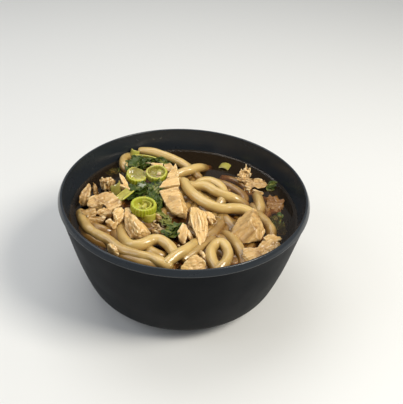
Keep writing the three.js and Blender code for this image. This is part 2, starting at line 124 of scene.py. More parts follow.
class GreensSettings(bpy.types.PropertyGroup):
    scallion: colour_property("Scallion", "Colour of a scallion's outer skin", "#a8b01f")
    scallion_pale: colour_property(
        "Scallion inside", "Colour of a scallion's inner layers", "#bdb552")
    pith: colour_property("Scallion pith", "Colour of a scallion's soft pith", "#8e8444")
    leaf: colour_property("Leaf", "Colour of the boiled leaves", "#41521a")
    leaf_pale: colour_property("Leaf stalk", "Colour of the leaves' veins and stalks", "#9c9850")
    # This colour is painted shade deep in the leaves' folds.
    leaf_fold_shade: colour_property("Leaf folds", "Colour deep in the leaves' folds", "#1d2610")


class StageSettings(bpy.types.PropertyGroup):
    floor: colour_property("Floor", "Colour of the floor", "#dcdcd9")
    light: FloatProperty(
        name="Light", description="Strength of all lamps together", default=1.0, min=0)


# ---- Working with Blender's tools ----


def deselect():
    """Leaves object mode as the only mode and nothing selected."""
    if bpy.context.mode != "OBJECT":
        bpy.ops.object.mode_set(mode="OBJECT")
    bpy.ops.object.select_all(action="DESELECT")


def pick(*pieces):
    """Selects only these pieces; the first is the active one."""
    deselect()
    for piece in pieces:
        piece.select_set(True)
    bpy.context.view_layer.objects.active = pieces[0]


def added(name):
    """The object that an operator has just added, under its own name."""
    piece = bpy.context.object
    piece.name = name
    piece.data.name = name
    return piece


def finish_with(piece, kind, **settings):
    """Adds one modifier with its settings and applies it."""
    pick(piece)
    modifier = piece.modifiers.new(kind.title(), kind)
    for name, value in settings.items():
        setattr(modifier, name, value)
    bpy.ops.object.modifier_apply(modifier=modifier.name)


def join(pieces, name):
    """One mesh of several."""
    pick(*pieces)
    if len(pieces) > 1:
        bpy.ops.object.join()
    return added(name)


def settle(piece):
    """Moves a piece's place and turn into its mesh."""
    pick(piece)
    bpy.ops.object.transform_apply(location=True, rotation=True, scale=True)


def smooth(piece, degrees=40):
    """Shades a piece smooth, but for edges sharper than an angle."""
    pick(piece)
    bpy.ops.object.shade_smooth_by_angle(angle=math.radians(degrees))


def mend(piece, threshold=1e-6):
    """Closes seams and turns the faces outwards."""
    pick(piece)
    bpy.ops.object.mode_set(mode="EDIT")
    bpy.ops.mesh.select_all(action="SELECT")
    bpy.ops.mesh.remove_doubles(threshold=threshold)
    bpy.ops.mesh.normals_make_consistent(inside=False)
    bpy.ops.object.mode_set(mode="OBJECT")


def lay(piece, at, turn=0, rise=0, roll=0):
    """Puts a piece at its place in millimetres: rolled, its +X end raised, turned about Z."""
    piece.location = Vector(at) * MM
    piece.rotation_euler = Euler([math.radians(a) for a in (roll, -rise, turn)], "XYZ")
    settle(piece)


def dress(piece, material, replaced=()):
    """Gives a finished piece its material and its body, and hides the solids that it stands for."""
    piece.data.materials.clear()
    piece.data.materials.append(material)
    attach(piece, BODY)
    if replaced:
        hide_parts(*replaced)


def chain(name, points):
    """A line of vertices through points, drawn by extruding one vertex."""
    deselect()
    bpy.ops.mesh.primitive_plane_add(size=MM)
    line = added(name)
    bpy.ops.object.mode_set(mode="EDIT")
    bpy.ops.mesh.merge(type="CENTER")
    bpy.ops.transform.translate(value=points[0])
    for a, b in zip(points, points[1:]):
        step = Vector(b) - Vector(a)
        bpy.ops.mesh.extrude_vertices_move(TRANSFORM_OT_translate={"value": step})
    return line


def turned(name, profile, steps):
    """A body spun about Z from a profile of radius and height in millimetres that starts and
    ends on the axis."""
    body = chain(name, [(r * MM, 0, z * MM) for r, z in profile])
    bpy.ops.mesh.select_all(action="SELECT")
    bpy.ops.mesh.spin(steps=steps, angle=2 * math.pi, axis=(0, 0, 1), center=(0, 0, 0))
    mend(body)
    return body


def hull(name, points):
    """A closed skin drawn tight over points in millimetres."""
    skin = chain(name, [point * MM for point in points])
    bpy.ops.mesh.select_all(action="SELECT")
    bpy.ops.mesh.convex_hull()
    mend(skin)
    return skin


def circle(name, radius, z, count):
    """A ring of vertices round Z, selected for editing; its radius and height in millimetres."""
    deselect()
    bpy.ops.mesh.primitive_circle_add(vertices=count, radius=radius * MM, location=(0, 0, z * MM))
    ring = added(name)
    settle(ring)
    bpy.ops.object.mode_set(mode="EDIT")
    bpy.ops.mesh.select_all(action="SELECT")
    return ring


def raise_wall(height, steps):
    """Extrudes the line that is being edited up into a wall, in millimetres."""
    bpy.ops.mesh.select_all(action="SELECT")
    up = {"value": (0, 0, height * MM / steps)}
    for _ in range(steps):
        bpy.ops.mesh.extrude_edges_move(TRANSFORM_OT_translate=up)


def texture(kind, **settings):
    """A pattern for a Displace modifier."""
    pattern = bpy.data.textures.new(kind.title(), kind)
    for name, value in settings.items():
        setattr(pattern, name, value)
    return pattern


def clouds(size, **settings):
    """A cloudy pattern with lumps of a size in millimetres."""
    return texture("CLOUDS", noise_scale=size * MM, **settings)


def roughen(piece, pattern, depth, at=None, middle=0.5, **settings):
    """Moves a piece's skin by a pattern, by a depth in millimetres.  An empty can draw the
    pattern out along the grain."""
    if at:
        settings.update(texture_coords="OBJECT", texture_coords_object=at)
    finish_with(piece, "DISPLACE", texture=pattern, strength=depth * MM, mid_level=middle,
                **settings)


def grow_together(piece, voxel):
    """Gives a piece one skin of even faces, whose size is in millimetres."""
    finish_with(piece, "REMESH", mode="VOXEL", voxel_size=voxel * MM)


def soften(piece):
    """Evens out a piece's skin a little."""
    finish_with(piece, "SMOOTH", factor=0.5, iterations=3)


def round_off(piece):
    """Rounds a piece by one level of subdivision."""
    finish_with(piece, "SUBSURF", levels=1, render_levels=1)


def pull(piece, at, by, reach):
    """Pulls the skin at a place by a vector, with what lies within reach, in millimetres."""
    target = Vector(at) * MM
    pick(piece)
    nearest = min(piece.data.vertices, key=lambda v: (v.co - target).length_squared).index
    bpy.ops.object.mode_set(mode="EDIT")
    bpy.ops.mesh.select_all(action="DESELECT")
    bpy.ops.object.mode_set(mode="OBJECT")
    piece.data.vertices[nearest].select = True
    bpy.ops.object.mode_set(mode="EDIT")
    bpy.ops.transform.translate(
        value=Vector(by) * MM, use_proportional_edit=True,
        proportional_edit_falloff="SMOOTH", proportional_size=reach * MM)
    bpy.ops.object.mode_set(mode="OBJECT")


def keep_share(piece, name, share):
    """Gives every point of a piece the same share of something, for its material."""
    attribute = piece.data.attributes.new(name, "FLOAT", "POINT")
    attribute.data.foreach_set("value", [share] * len(piece.data.vertices))


# ---- Materials ----


def add_node(tree, kind, inputs=None, **settings):
    """Adds a node with its settings, and a value or a link for each input that is named."""
    node = tree.nodes.new("ShaderNode" + kind)
    for name, value in settings.items():
        setattr(node, name, value)
    for name, value in (inputs or {}).items():
        if isinstance(value, bpy.types.NodeSocket):
            tree.links.new(value, node.inputs[name])
        else:
            node.inputs[name].default_value = value
    return node


def own_place(tree):
    """A point's place in the piece, in metres."""
    return add_node(tree, "TexCoord").outputs["Object"]


def kept(tree, name):
    """What a piece keeps at each point under a name."""
    return add_node(tree, "Attribute", attribute_name=name).outputs["Fac"]


def edge_share(tree):
    """How far a point stands out on a ridge, over 0.5, or lies in a crease, under it."""
    return add_node(tree, "NewGeometry").outputs["Pointiness"]


def noise(tree, place, size, detail=2.0, **inputs):
    """Cloudy noise from 0 to 1 with lumps of a size, in the unit of the place."""
    return add_node(tree, "TexNoise", {
        "Vector": place, "Scale": 1 / size, "Detail": detail, **inputs}).outputs["Fac"]


def stretched(tree, place, scale):
    """A place with each axis times its own factor."""
    return add_node(tree, "Mapping", {"Vector": place, "Scale": scale}).outputs["Vector"]


def remap(tree, value, start, end, low=0.0, high=1.0):
    """Takes a value that runs from start to end as one that runs from low to high."""
    return add_node(tree, "MapRange", {
        "Value": value, "From Min": start, "From Max": end, "To Min": low, "To Max": high,
    }).outputs["Result"]


def sum_of(tree, first, second):
    """Two shares together, from 0 to 1."""
    both = add_node(tree, "Math", {0: first, 1: second}, operation="ADD", use_clamp=True)
    return both.outputs["Value"]


def blend(tree, share, first, second):
    """A colour that turns into another one as a share goes from 0 to 1."""
    return add_node(tree, "Mix", {0: share, 6: first, 7: second}, data_type="RGBA").outputs[2]


def relief(tree, height, strength, millimetres):
    """A surface that looks raised where a height is large."""
    return add_node(tree, "Bump", {
        "Height": height, "Strength": strength, "Distance": millimetres * MM}).outputs["Normal"]


def new_material(name, **values):
    """A material whose Principled shader has plain values on its own sockets."""
    material = bpy.data.materials.new(name)
    material.use_nodes = True
    shader = material.node_tree.nodes["Principled BSDF"]
    for socket, value in values.items():
        shader.inputs[socket.replace("_", " ")].default_value = value
    return material, material.node_tree, shader


def feed(tree, shader, **sockets):
    """Links nodes to the sockets of a material's shader."""
    for socket, source in sockets.items():
        tree.links.new(source, shader.inputs[socket.replace("_", " ")])


def melamine(settings):
    """Moulded melamine resin, near black: dull outside, where the mould was blasted, and a
    smoother, half-gloss finish inside and on the rim, which lamps draw soft highlights on.
    Inside and on the rim the colour is also paler: painted light, for the light that falls
    into the bowl and a painted reflection on the rim."""
    material, tree, shader = new_material("Moulded melamine", IOR=1.5)
    place = own_place(tree)
    # This attribute is 1 on the rim and the inside and 0 on the outside: it makes them glossier,
    # and it also gives them the paler inside colour, which is painted light.
    satin_and_painted_light = kept(tree, "satin_and_painted_light")
    # The peel of the mould is 0.9 mm across, and handling dulls patches of 25 mm.
    peel = noise(tree, place, 0.9 * MM)
    handled = remap(tree, noise(tree, place, 25 * MM, 4.0), 0.35, 0.65, -0.04, 0.06)
    dull = remap(tree, satin_and_painted_light, 0, 1, settings.roughness + 0.2, settings.roughness - 0.05)
    feed(tree, shader, Base_Color=blend(tree, satin_and_painted_light, settings.colour, settings.inside),
         Specular_IOR_Level=remap(tree, satin_and_painted_light, 0, 1, 0.06, 0.4),
         Roughness=sum_of(tree, dull, handled),
         Normal=relief(tree, peel, 0.12, 0.05))
    return material


def soup(settings):
    """Soy and stock broth: clear brown water that darkens with depth, under a still and
    shining face.  Lamps reach what lies in it."""
    material, tree, shader = new_material(
        "Soy broth", Base_Color=settings.cloud, Transmission_Weight=0.965, IOR=1.34, Roughness=0.04)
    depth = add_node(
        tree, "VolumeAbsorption", {"Color": settings.tint, "Density": settings.density})
    lamp_ray = add_node(tree, "LightPath").outputs["Is Shadow Ray"]
    clear = add_node(tree, "BsdfTransparent")
    face = add_node(tree, "MixShader", {
        0: lamp_ray, 1: shader.outputs["BSDF"], 2: clear.outputs["BSDF"]})
    output = tree.nodes["Material Output"]
    feed(tree, output, Surface=face.outputs["Shader"], Volume=depth.outputs["Volume"])
    return material


def clear_broth():
    """Drops and bubbles of broth, too small to show its colour: nearly clear, with a sharp
    glint and a slightly uneven skin."""
    material, tree, shader = new_material(
        "Clear broth", Base_Color=rgb("#f3e7cf"), Transmission_Weight=0.9, IOR=1.34, Roughness=0.05)
    feed(tree, shader, Normal=relief(tree, noise(tree, own_place(tree), 0.5 * MM), 0.1, 0.05))
    return material


def boiled_dough(settings):
    """Boiled wheat dough: smooth, moist and slightly see-through, cream where it is out of the
    broth
    and browner near and under it: partly the broth's real stain, partly painted shade on the
    lower noodles, which lie under the others."""
    material, tree, shader = new_material(
        "Boiled wheat noodle", IOR=1.4, Roughness=0.3, Subsurface_Weight=0.3,
        Subsurface_Radius=(1.0, 0.75, 0.4), Subsurface_Scale=1.5 * MM,
        Coat_Weight=0.75, Coat_Roughness=0.17)
    place = own_place(tree)
    height = add_node(tree, "SeparateXYZ", {"Vector": place}).outputs["Z"]
    # Browner lower down, near and under the broth: partly real stain, partly painted shade where
    # noodles lie under others.
    stain_and_shade = remap(tree, height, BROTH_LEVEL + 7.5 * MM, BROTH_LEVEL + 1.2 * MM)
    uneven = remap(tree, noise(tree, place, 9 * MM, 3.0), 0.3, 0.7, -0.15, 0.2)
    feed(tree, shader,
         Base_Color=blend(tree, sum_of(tree, stain_and_shade, uneven), settings.colour, settings.soaked_and_shaded),
         Normal=relief(tree, noise(tree, place, 1.2 * MM), 0.3, 0.2))
    return material


def white_meat(settings):
    """Torn chicken breast: pale bundles of fibre with brown seasoning on the outside, moist but
    not shiny; painted shade darkens the creases and a painted highlight lightens the crests."""
    material, tree, shader = new_material(
        "Torn chicken breast", IOR=1.42, Roughness=0.42, Subsurface_Weight=0.1,
        Subsurface_Radius=(1.0, 0.6, 0.3), Subsurface_Scale=1.2 * MM,
        Coat_Weight=0.25, Coat_Roughness=0.2)
    # The grain attribute holds millimetres along and across the fibres.
    place = add_node(tree, "Attribute", attribute_name="grain").outputs["Vector"]
    # Fibres are finer than 1 mm; they are drawn 2 mm wide, so that they show.
    fibre = noise(tree, stretched(tree, place, (0.06, 0.5, 0.5)), 1, 3.0, Roughness=0.6)
    patch = noise(tree, stretched(tree, place, (0.08, 0.2, 0.2)), 1, Distortion=0.6)
    spots = remap(tree, patch, 0.48, 0.7, -0.1, 0.4)
    bend = edge_share(tree)
    meat = blend(tree, remap(tree, fibre, 0.42, 0.68, 0, 0.75), settings.meat, settings.grain)
    # Painted highlight: where the skin bends out, on the crests, it turns to the pale colour of the
    # edges.
    with_edge_highlight = blend(tree, remap(tree, bend, 0.506, 0.545, 0, 0.8), meat, settings.edge)
    # Each piece holds how much of the seasoning it has taken up.
    stain = sum_of(tree, kept(tree, "stained"), spots)
    glazed = blend(tree, stain, with_edge_highlight, settings.glaze_and_crease_shade)
    # Painted shade: where the skin bends in, in the creases, it turns to the seasoning colour.
    feed(tree, shader,
         Base_Color=blend(tree, remap(tree, bend, 0.49, 0.45, 0, 0.6), glazed, settings.glaze_and_crease_shade),
         Normal=relief(tree, fibre, 0.2, 0.3))
    return material


def cut_scallion(settings):
    """Fresh scallion: a firm ribbed green skin over paler, wetter inner layers, which light
    passes through."""
    material, tree, shader = new_material(
        "Cut scallion", IOR=1.4, Roughness=0.25, Subsurface_Weight=0.25,
        Subsurface_Radius=(0.5, 1.0, 0.2), Subsurface_Scale=1.0 * MM,
        Coat_Weight=0.4, Coat_Roughness=0.1)
    uneven = remap(tree, noise(tree, own_place(tree), 3 * MM, 3.0), 0.3, 0.7, -0.12, 0.12)
    # The layer attribute runs from 0 on the skin over 0.5 in the inner layers to 1 in the pith.
    ramp = add_node(tree, "ValToRGB", {"Fac": sum_of(tree, kept(tree, "layer"), uneven)})
    stops = ramp.color_ramp.elements
    stops.new(0.5)
    for stop, tone in zip(stops, (settings.scallion, settings.scallion_pale, settings.pith)):
        stop.color = tone
    feed(tree, shader, Base_Color=ramp.outputs["Color"])
    return material


def boiled_leaf(settings):
    """Boiled leaf greens: limp, dark and moist, with paler veins, with painted shade deep in
    the folds and with sharp glints on them."""
    material, tree, shader = new_material(
        "Boiled leaf", IOR=1.4, Roughness=0.32, Subsurface_Weight=0.08,
        Subsurface_Radius=(0.8, 1.0, 0.3), Subsurface_Scale=0.6 * MM,
        Coat_Weight=0.06, Coat_Roughness=0.25)
    place = own_place(tree)
    vein = remap(tree, noise(tree, place, 6 * MM, 3.0, Distortion=1.0), 0.55, 0.75)
    # The pale attribute is the share of stalk in a leaf.
    share = sum_of(tree, vein, kept(tree, "pale"))
    green = blend(tree, share, settings.leaf, settings.leaf_pale)
    # Painted shade: where the leaf bends in, deep in its folds, it turns to the fold colour.
    low = remap(tree, edge_share(tree), 0.5, 0.42, 0, 0.85)
    feed(tree, shader, Base_Color=blend(tree, low, green, settings.leaf_fold_shade),
         Normal=relief(tree, noise(tree, place, 1.5 * MM), 0.3, 0.3))
    return material


def floor_paint(settings):
    """Matt white paint on a studio floor."""
    material, tree, shader = new_material("Matt paint", Roughness=0.9, Base_Color=settings.floor)
    feed(tree, shader, Normal=relief(tree, noise(tree, own_place(tree), 4 * MM), 0.05, 0.1))
    return material


# ---- Bowl ----

# The wall: how far it draws in for each millimetre down, and from a depth under the rim also
# with the square of the depth, times a factor.
WALL_TAPER = 0.2045
BELLY_DEPTH = 34.3
BELLY_CURVE = 0.0021

# Heights and radii in millimetres.
TURN_HEIGHT = 19  # the outside turns from the foot into the wall up to here
INNER_TURN_HEIGHT = 22.45  # the same of the inside
WALL_TOP = 79.4  # the wall ends here, under the bead
# Over RIM_BOTTOM the rim is also painted in the paler inside colour, as painted light.
RIM_BOTTOM = 80.2  # the rim's satin starts here
INSIDE_TOP = 83.6
FOOT_RADIUS = 48
FOOT_HEIGHT = 4.5
FLOOR_RADIUS = 44
FLOOR_HEIGHT = 8

# The foot ring's section: radius and height.
FOOT = [(0, 2.5), (20, 2.5), (40, 2.5), (42.6, 2.4), (43.4, 1.8), (43.8, 0.5), (44.3, 0.06),
        (45, 0), (47, 0), (47.6, 0.1), (48, 0.6), (48.2, 2), (48.3, 3.6), (48.6, 4.3)]

# The bead under the rim: height, and how far it stands out from the wall's line.
BEAD = [(80, 0.02), (80.4, 0.2), (80.8, 0.42), (81.25, 0.39), (81.6, 0.12), (82, -0.14),
        (82.8, -0.62), (83.7, -1.22)]

# The lip: height, and how far it lies inside the lip radius.
LIP = [(84.4, 2.02), (84.72, 2.2), (84.93, 2.5), (85, 2.85), (84.93, 3.2), (84.72, 3.5),
       (84.3, 3.72)]


def wall_radius(z, settings):
    """Radius of the outer wall, in millimetres, at a height in millimetres."""
    depth = RIM_HEIGHT / MM - z
    belly = BELLY_CURVE * max(depth - BELLY_DEPTH, 0) ** 2
    return settings.lip_radius / MM - WALL_TAPER * depth - belly


def spaced(start, end, count):
    """Evenly spaced numbers from start to end."""
    return [start + (end - start) * i / (count - 1) for i in range(count)]


def turn_into(wall_at, z, bottom_z, bottom_radius, steps):
    """The round turn from a level bottom into the wall."""
    slope = wall_at(z) - wall_at(z - 1)
    start, end = Vector((bottom_radius, bottom_z)), Vector((wall_at(z), z))
    corner = Vector((wall_at(z) - slope * (z - bottom_z), bottom_z))
    return [tuple(start.lerp(corner, t).lerp(corner.lerp(end, t), t))
            for t in spaced(0, 1, steps + 1)]


def bowl_profile(settings):
    """The bowl's section from the middle of its underside, up outside, over the rim and down."""
    outer = lambda z: wall_radius(z, settings)
    inner = lambda z: wall_radius(z, settings) - settings.wall / MM
    lip_radius = settings.lip_radius / MM
    outside = turn_into(outer, TURN_HEIGHT, FOOT_HEIGHT, FOOT_RADIUS + 1, steps=12)
    wall = [(outer(z), z) for z in spaced(TURN_HEIGHT, WALL_TOP, 16)[1:]]
    rim = [(outer(z) + out, z) for z, out in BEAD] + [(lip_radius - back, z) for z, back in LIP]
    inside = [(inner(z), z) for z in [INSIDE_TOP] + spaced(INSIDE_TOP - 1, INNER_TURN_HEIGHT, 18)]
    bottom = turn_into(inner, INNER_TURN_HEIGHT, FLOOR_HEIGHT, FLOOR_RADIUS, steps=10)[::-1][1:]
    floor = [(FLOOR_RADIUS / 2, FLOOR_HEIGHT), (0, FLOOR_HEIGHT)]
    return FOOT + outside + wall + rim + inside + bottom + floor


class UDON_OT_bowl(bpy.types.Operator):
    """Turns the bowl: foot ring, round belly, straight wall, bead and lip."""
    bl_idname = "udon.bowl"
    bl_label = "Bowl"

    def execute(self, context):
        settings = context.scene.udon_bowl
        bowl = turned("bowl_shell", bowl_profile(settings), steps=160)
        # 1 on the rim and the inside, which are glossier and painted paler, as painted light.
        satin_and_painted_light = bowl.data.attributes.new("satin_and_painted_light", "FLOAT", "POINT")
        for item, vertex in zip(satin_and_painted_light.data, bowl.data.vertices):
            reach, z = vertex.co.xy.length / MM, vertex.co.z / MM
            middle = wall_radius(z, settings) - settings.wall / MM / 2
            item.value = z > RIM_BOTTOM or (z > FOOT_HEIGHT + 1 and reach < middle)
        smooth(bowl, 50)
        dress(bowl, melamine(settings), ["bowl"])
        return {"FINISHED"}


# ---- Noodles ----

# Middle lines of the noodles on the heap, in millimetres, from the far side to the near side.
TOP_NOODLES = [
    [(-40.5, 70, 71), (-32, 68, 72), (-22, 64, 72), (-11, 59, 71), (0, 51, 69), (9, 42, 66)],
    [(-46.9, 66.8, 67), (-52.3, 63.7, 68), (-53.9, 54.8, 68), (-51, 48.9, 66.5), (-45, 46, 62)],
    [(-12, 35, 70), (-4.5, 40, 71.5), (1, 43, 72), (7, 49, 70.5), (12, 56, 66.5), (16, 63, 60)],
    [(6, 26, 68), (14, 31, 70), (23, 28, 70.5), (29, 19, 69.5), (28, 10, 68.5), (23, 2, 65)],
    [(-6, 30, 69), (4, 23, 70), (14, 21, 72.5), (24, 14, 72), (36, 10, 70), (45, 9, 65)],
    [(-2.1, 24.2, 73), (3.2, 11.7, 73.5), (10.4, 2.6, 73), (18.8, -3.5, 72.5), (27.7, -6.3, 72),
     (35.8, -4.8, 71.5), (44, -5.2, 71), (51, -9, 69.5)],
    [(55, 27, 62), (55.5, 21, 65.5), (56, 12, 67.5), (56.5, 2, 66.5), (54, -6, 63)],
    [(51.7, 6.2, 65), (56.2, -6.7, 66.5), (60.8, -15.3, 67), (63.2, -22.5, 66.5), (62.5, -31, 63)],
    [(25, 2, 61), (28, -11.4, 64), (24.5, -23.3, 65.3), (19.5, -31.8, 65.5), (13.5, -36, 64.5),
     (5, -40, 61)],
    [(27, -26, 62.5), (32.4, -30.4, 66), (37.2, -38.8, 67), (40.4, -46.8, 66.8),
     (42.5, -53.7, 65.5), (42, -63, 61)],
    [(-74, -16, 67), (-69.9, -25.9, 67.5), (-65.5, -33.6, 68), (-60.4, -38.1, 68), (-54.9, -42, 68),
     (-49.6, -45, 67.8), (-44, -49.9, 67.5), (-38.7, -54.1, 67.5), (-32.2, -57.1, 68),
     (-25.3, -59.6, 68.5), (-18.5, -61.5, 69), (-12.2, -64.9, 69), (-6.8, -67.6, 68)],
    [(-44, -17, 62), (-43.9, -24.9, 65.5), (-41.9, -35.2, 67), (-37.9, -45.4, 69),
     (-32.6, -51.2, 70.5), (-27.5, -51.8, 71), (-23.1, -49.7, 71.5), (-18.8, -46.1, 71.5),
     (-14.8, -45.3, 71.5), (-10.5, -48, 71.5), (-6.8, -51.7, 71), (-3.8, -56.4, 70)],
    [(-7, -65, 69.5), (-1.6, -59.1, 70.8), (4.6, -52.5, 70.4), (9.6, -44, 67.8), (13, -36.5, 65)],
    [(3.7, -58.3, 67), (9.4, -51.8, 67), (15.9, -43.4, 66.5), (21.3, -35.7, 65)],
]

# Noodles that lie just under the broth.
SUNK_NOODLES = [
    [(-69.4, -30, 63.5), (-63.4, -38.5, 64.5), (-56.8, -43.9, 65), (-50.1, -46.9, 64.5),
     (-45.3, -47.7, 62)],
    [(-70.3, -19, 63), (-63.6, -26.7, 64.5), (-57.1, -30.7, 65), (-51.4, -31.2, 64),
     (-47.4, -26.1, 62)],
    [(-49.3, -17, 61), (-48.9, -21.6, 62.5), (-46.9, -31.3, 64), (-43, -40.3, 64.5),
     (-37.1, -47.3, 64.5), (-30.7, -49.2, 63.5)],
    [(-39.9, -55.7, 64), (-31.8, -60.2, 65.5), (-23.6, -63, 66), (-15.5, -65.2, 66),
     (-8.9, -65.4, 64)],
    [(-25, -47, 63), (-21.7, -50.3, 66), (-17.9, -54.5, 67.3), (-13.8, -55.7, 66), (-9, -54, 63)],
    [(22.9, 6.7, 63.5), (27.4, -5, 65), (32.6, -14.8, 65.5), (38.4, -22.9, 64)],
    [(61, 20, 60.5), (62, 11, 62.5), (62, 2, 62), (57, -8, 60)],
    [(14, -45, 62), (20, -46.5, 64), (26.5, -48, 64.6), (31, -52, 63)],
    [(17, 44, 61), (28, 38, 63.5), (38, 30, 64), (45, 20, 63.5), (44, 9, 62)],
    [(30, 48, 61), (38, 44, 63), (46, 36, 63), (50, 26, 62)],
]

# The loop at the front, and its width as a share of the others'.
LOOP_NOODLE = [(29, -71, 63.5), (24, -65, 67.5), (20.8, -57, 69.5), (22.2, -47.5, 70),
               (26.5, -44, 70.5), (31.5, -50, 70), (31, -60, 69), (26.5, -66, 67.5),
               (21, -70.5, 63.5)]
LOOP_WIDTH = 0.95

SQUARENESS = 1.22  # how far a noodle's section swells into its corners
UNEVEN_WIDTH = (0.93, 1.07)
TWIST = 0.35  # radians from point to point

# A noodle's rounded ends: millimetres added, and the share of its width that is left there.
ROUNDED_END = [(2.2, 0.86), (1.1, 0.42)]

# How far the heap reaches from the bowl's middle, every 30 degrees from +X towards +Y.
HEAP_REACH = [61, 45, 42, 62, 74, 67, 77, 76, 73, 71, 73, 66]

# Levels of the bed's noodles and how much of the heap's outline each level fills.
BED_LEVELS = [(60, 0.98), (61.8, 0.92), (63.3, 0.72), (65, 0.45)]
BED_RISE = 1.2  # millimetres up or down from the level
BED_POINTS = (5, 9)  # a noodle of the bed has from 5 to 9 points
BED_STEP = 9  # millimetres from point to point
BED_BEND = 0.5  # most that it bends at each point, in radians
BED_WANDER = 0.25  # most that a bend is more or less than that
BED_TURN_BACK = math.radians(60)

# The core under the noodles: its section as radius and height, and how much of the heap's
# outline it fills.
CORE = [(0, 9), (30, 9), (43, 10), (56, 22), (64, 40), (66, 52), (60, 58), (50, 60), (30, 61),
        (0, 62)]
CORE_RADIUS = 66
CORE_SHARE = 0.94


def noodle_section(width):
    """The outline of a noodle: a square with very round corners."""
    deselect()
    bpy.ops.curve.primitive_bezier_circle_add(radius=width / 2)
    section = added("noodle_section")
    section.data.resolution_u = 4
    for point in section.data.splines[0].bezier_points:
        point.handle_left_type = point.handle_right_type = "FREE"
        point.handle_left = point.co + (point.handle_left - point.co) * SQUARENESS
        point.handle_right = point.co + (point.handle_right - point.co) * SQUARENESS
    return section


def noodle(name, route, section, rng, share=1.0):
    """A noodle swept along a smooth line, a little thicker and thinner as it goes."""
    deselect()
    bpy.ops.curve.primitive_bezier_curve_add(radius=MM)
    line = added(name)
    points = [Vector(p) * MM for p in route]
    for step, _ in ROUNDED_END:
        points.insert(0, points[0] + (points[0] - points[1]).normalized() * (step * MM))
        points.append(points[-1] + (points[-1] - points[-2]).normalized() * (step * MM))
    spline = line.data.splines[0]
    spline.bezier_points.add(len(points) - len(spline.bezier_points))
    roll = rng.uniform(0, math.pi)
    for i, (point, place) in enumerate(zip(spline.bezier_points, points)):
        point.co = place
        point.handle_left_type = point.handle_right_type = "AUTO"
        point.radius = share * rng.uniform(*UNEVEN_WIDTH)
        point.tilt = roll + TWIST * i
    for i, (_, width_left) in enumerate(reversed(ROUNDED_END)):
        for end in (i, -1 - i):
            spline.bezier_points[end].radius = share * width_left
    line.data.dimensions = "3D"
    line.data.resolution_u = 7
    line.data.bevel_mode = "OBJECT"
    line.data.bevel_object = section
    line.data.use_fill_caps = True
    pick(line)
    bpy.ops.object.convert(target="MESH")
    return added(name)


def heap_reach(angle):
    """How far the heap reaches from the middle, in millimetres, at an angle from +X."""
    place = (angle / (2 * math.pi) * len(HEAP_REACH)) % len(HEAP_REACH)
    first = int(place)
    share = (1 - math.cos((place - first) * math.pi)) / 2
    return HEAP_REACH[first] * (1 - share) + HEAP_REACH[(first + 1) % len(HEAP_REACH)] * share


def bed_route(rng, share, level):
    """A noodle that wanders inside the heap's outline at a level, in millimetres."""
    angle = rng.uniform(0, 2 * math.pi)
    distance = share * heap_reach(angle) * math.sqrt(rng.random())
    place = Vector((distance * math.cos(angle), distance * math.sin(angle)))
    heading = rng.uniform(0, 2 * math.pi)
    bend = rng.uniform(-BED_BEND, BED_BEND)
    route = []
    for _ in range(rng.randint(*BED_POINTS)):
        route.append((place.x, place.y, level + rng.uniform(-BED_RISE, BED_RISE)))
        heading += bend + rng.uniform(-BED_WANDER, BED_WANDER)
        place = place + BED_STEP * Vector((math.cos(heading), math.sin(heading)))
        reach = share * heap_reach(math.atan2(place.y, place.x))
        if place.length > reach:
            heading += BED_TURN_BACK
            place = place.normalized() * reach
    return route


def heap_core(name):
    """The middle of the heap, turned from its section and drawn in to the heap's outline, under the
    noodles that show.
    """
    core = turned(name, CORE, steps=48)
    for vertex in core.data.vertices:
        reach = heap_reach(math.atan2(vertex.co.y, vertex.co.x)) / CORE_RADIUS
        vertex.co.xy *= min(1, CORE_SHARE * reach)
    round_off(core)
    roughen(core, clouds(8), 3)
    return core


class UDON_OT_noodles(bpy.types.Operator):
    """Sweeps the noodles over a packed core and joins them into one heap."""
    bl_idname = "udon.noodles"
    bl_label = "Noodles"

    def execute(self, context):
        settings = context.scene.udon_noodles
        rng = random.Random(7)
        section = noodle_section(settings.width)
        strands = [noodle("strand", route, section, rng) for route in TOP_NOODLES + SUNK_NOODLES]
        strands.append(noodle("strand", LOOP_NOODLE, section, rng, LOOP_WIDTH))
        for i in range(settings.bed_count):
            level, share = BED_LEVELS[i % len(BED_LEVELS)]
            strands.append(noodle("strand", bed_route(rng, share, level), section, rng))
        heap = join(strands + [heap_core("core")], "noodle_heap")
        bpy.data.objects.remove(section)
        roughen(heap, clouds(12), 0.6)
        roughen(heap, clouds(3.5), 0.35)
        smooth(heap, 60)
        dress(heap, boiled_dough(settings), ["noodles"])
        return {"FINISHED"}


# ---- Broth ----

SKIN_OVERLAP = 0.25  # the broth reaches this far into the bowl, so that no air shows

# Where the broth climbs the wall: millimetres from the wall and over the level.
MENISCUS = [(2.2, 0.06), (1.4, 0.22), (0.8, 0.5), (0.35, 0.9)]
CLIMB = 1.3
LEVEL_EDGE = 3  # the face is level up to this far from the wall

# Rows of bubbles on the broth, from a place to a place in millimetres, and how many.
BUBBLE_ROWS = [
    ((-69, -24, 66.4), (-56, -20.4, 66.4), 14),
    ((-6, -62, 66.6), (-0.5, -62.2, 66.6), 8),
    ((47, -44, 66.4), (52, -43, 66.4), 4),
]

# Drops that hang on the wall over the broth: place and radius in millimetres.
WALL_DROPS = [((-32, 80, 78), 0.6), ((-25.4, 82.5, 78), 0.5), ((-30.4, 80.6, 76.7), 0.4)]


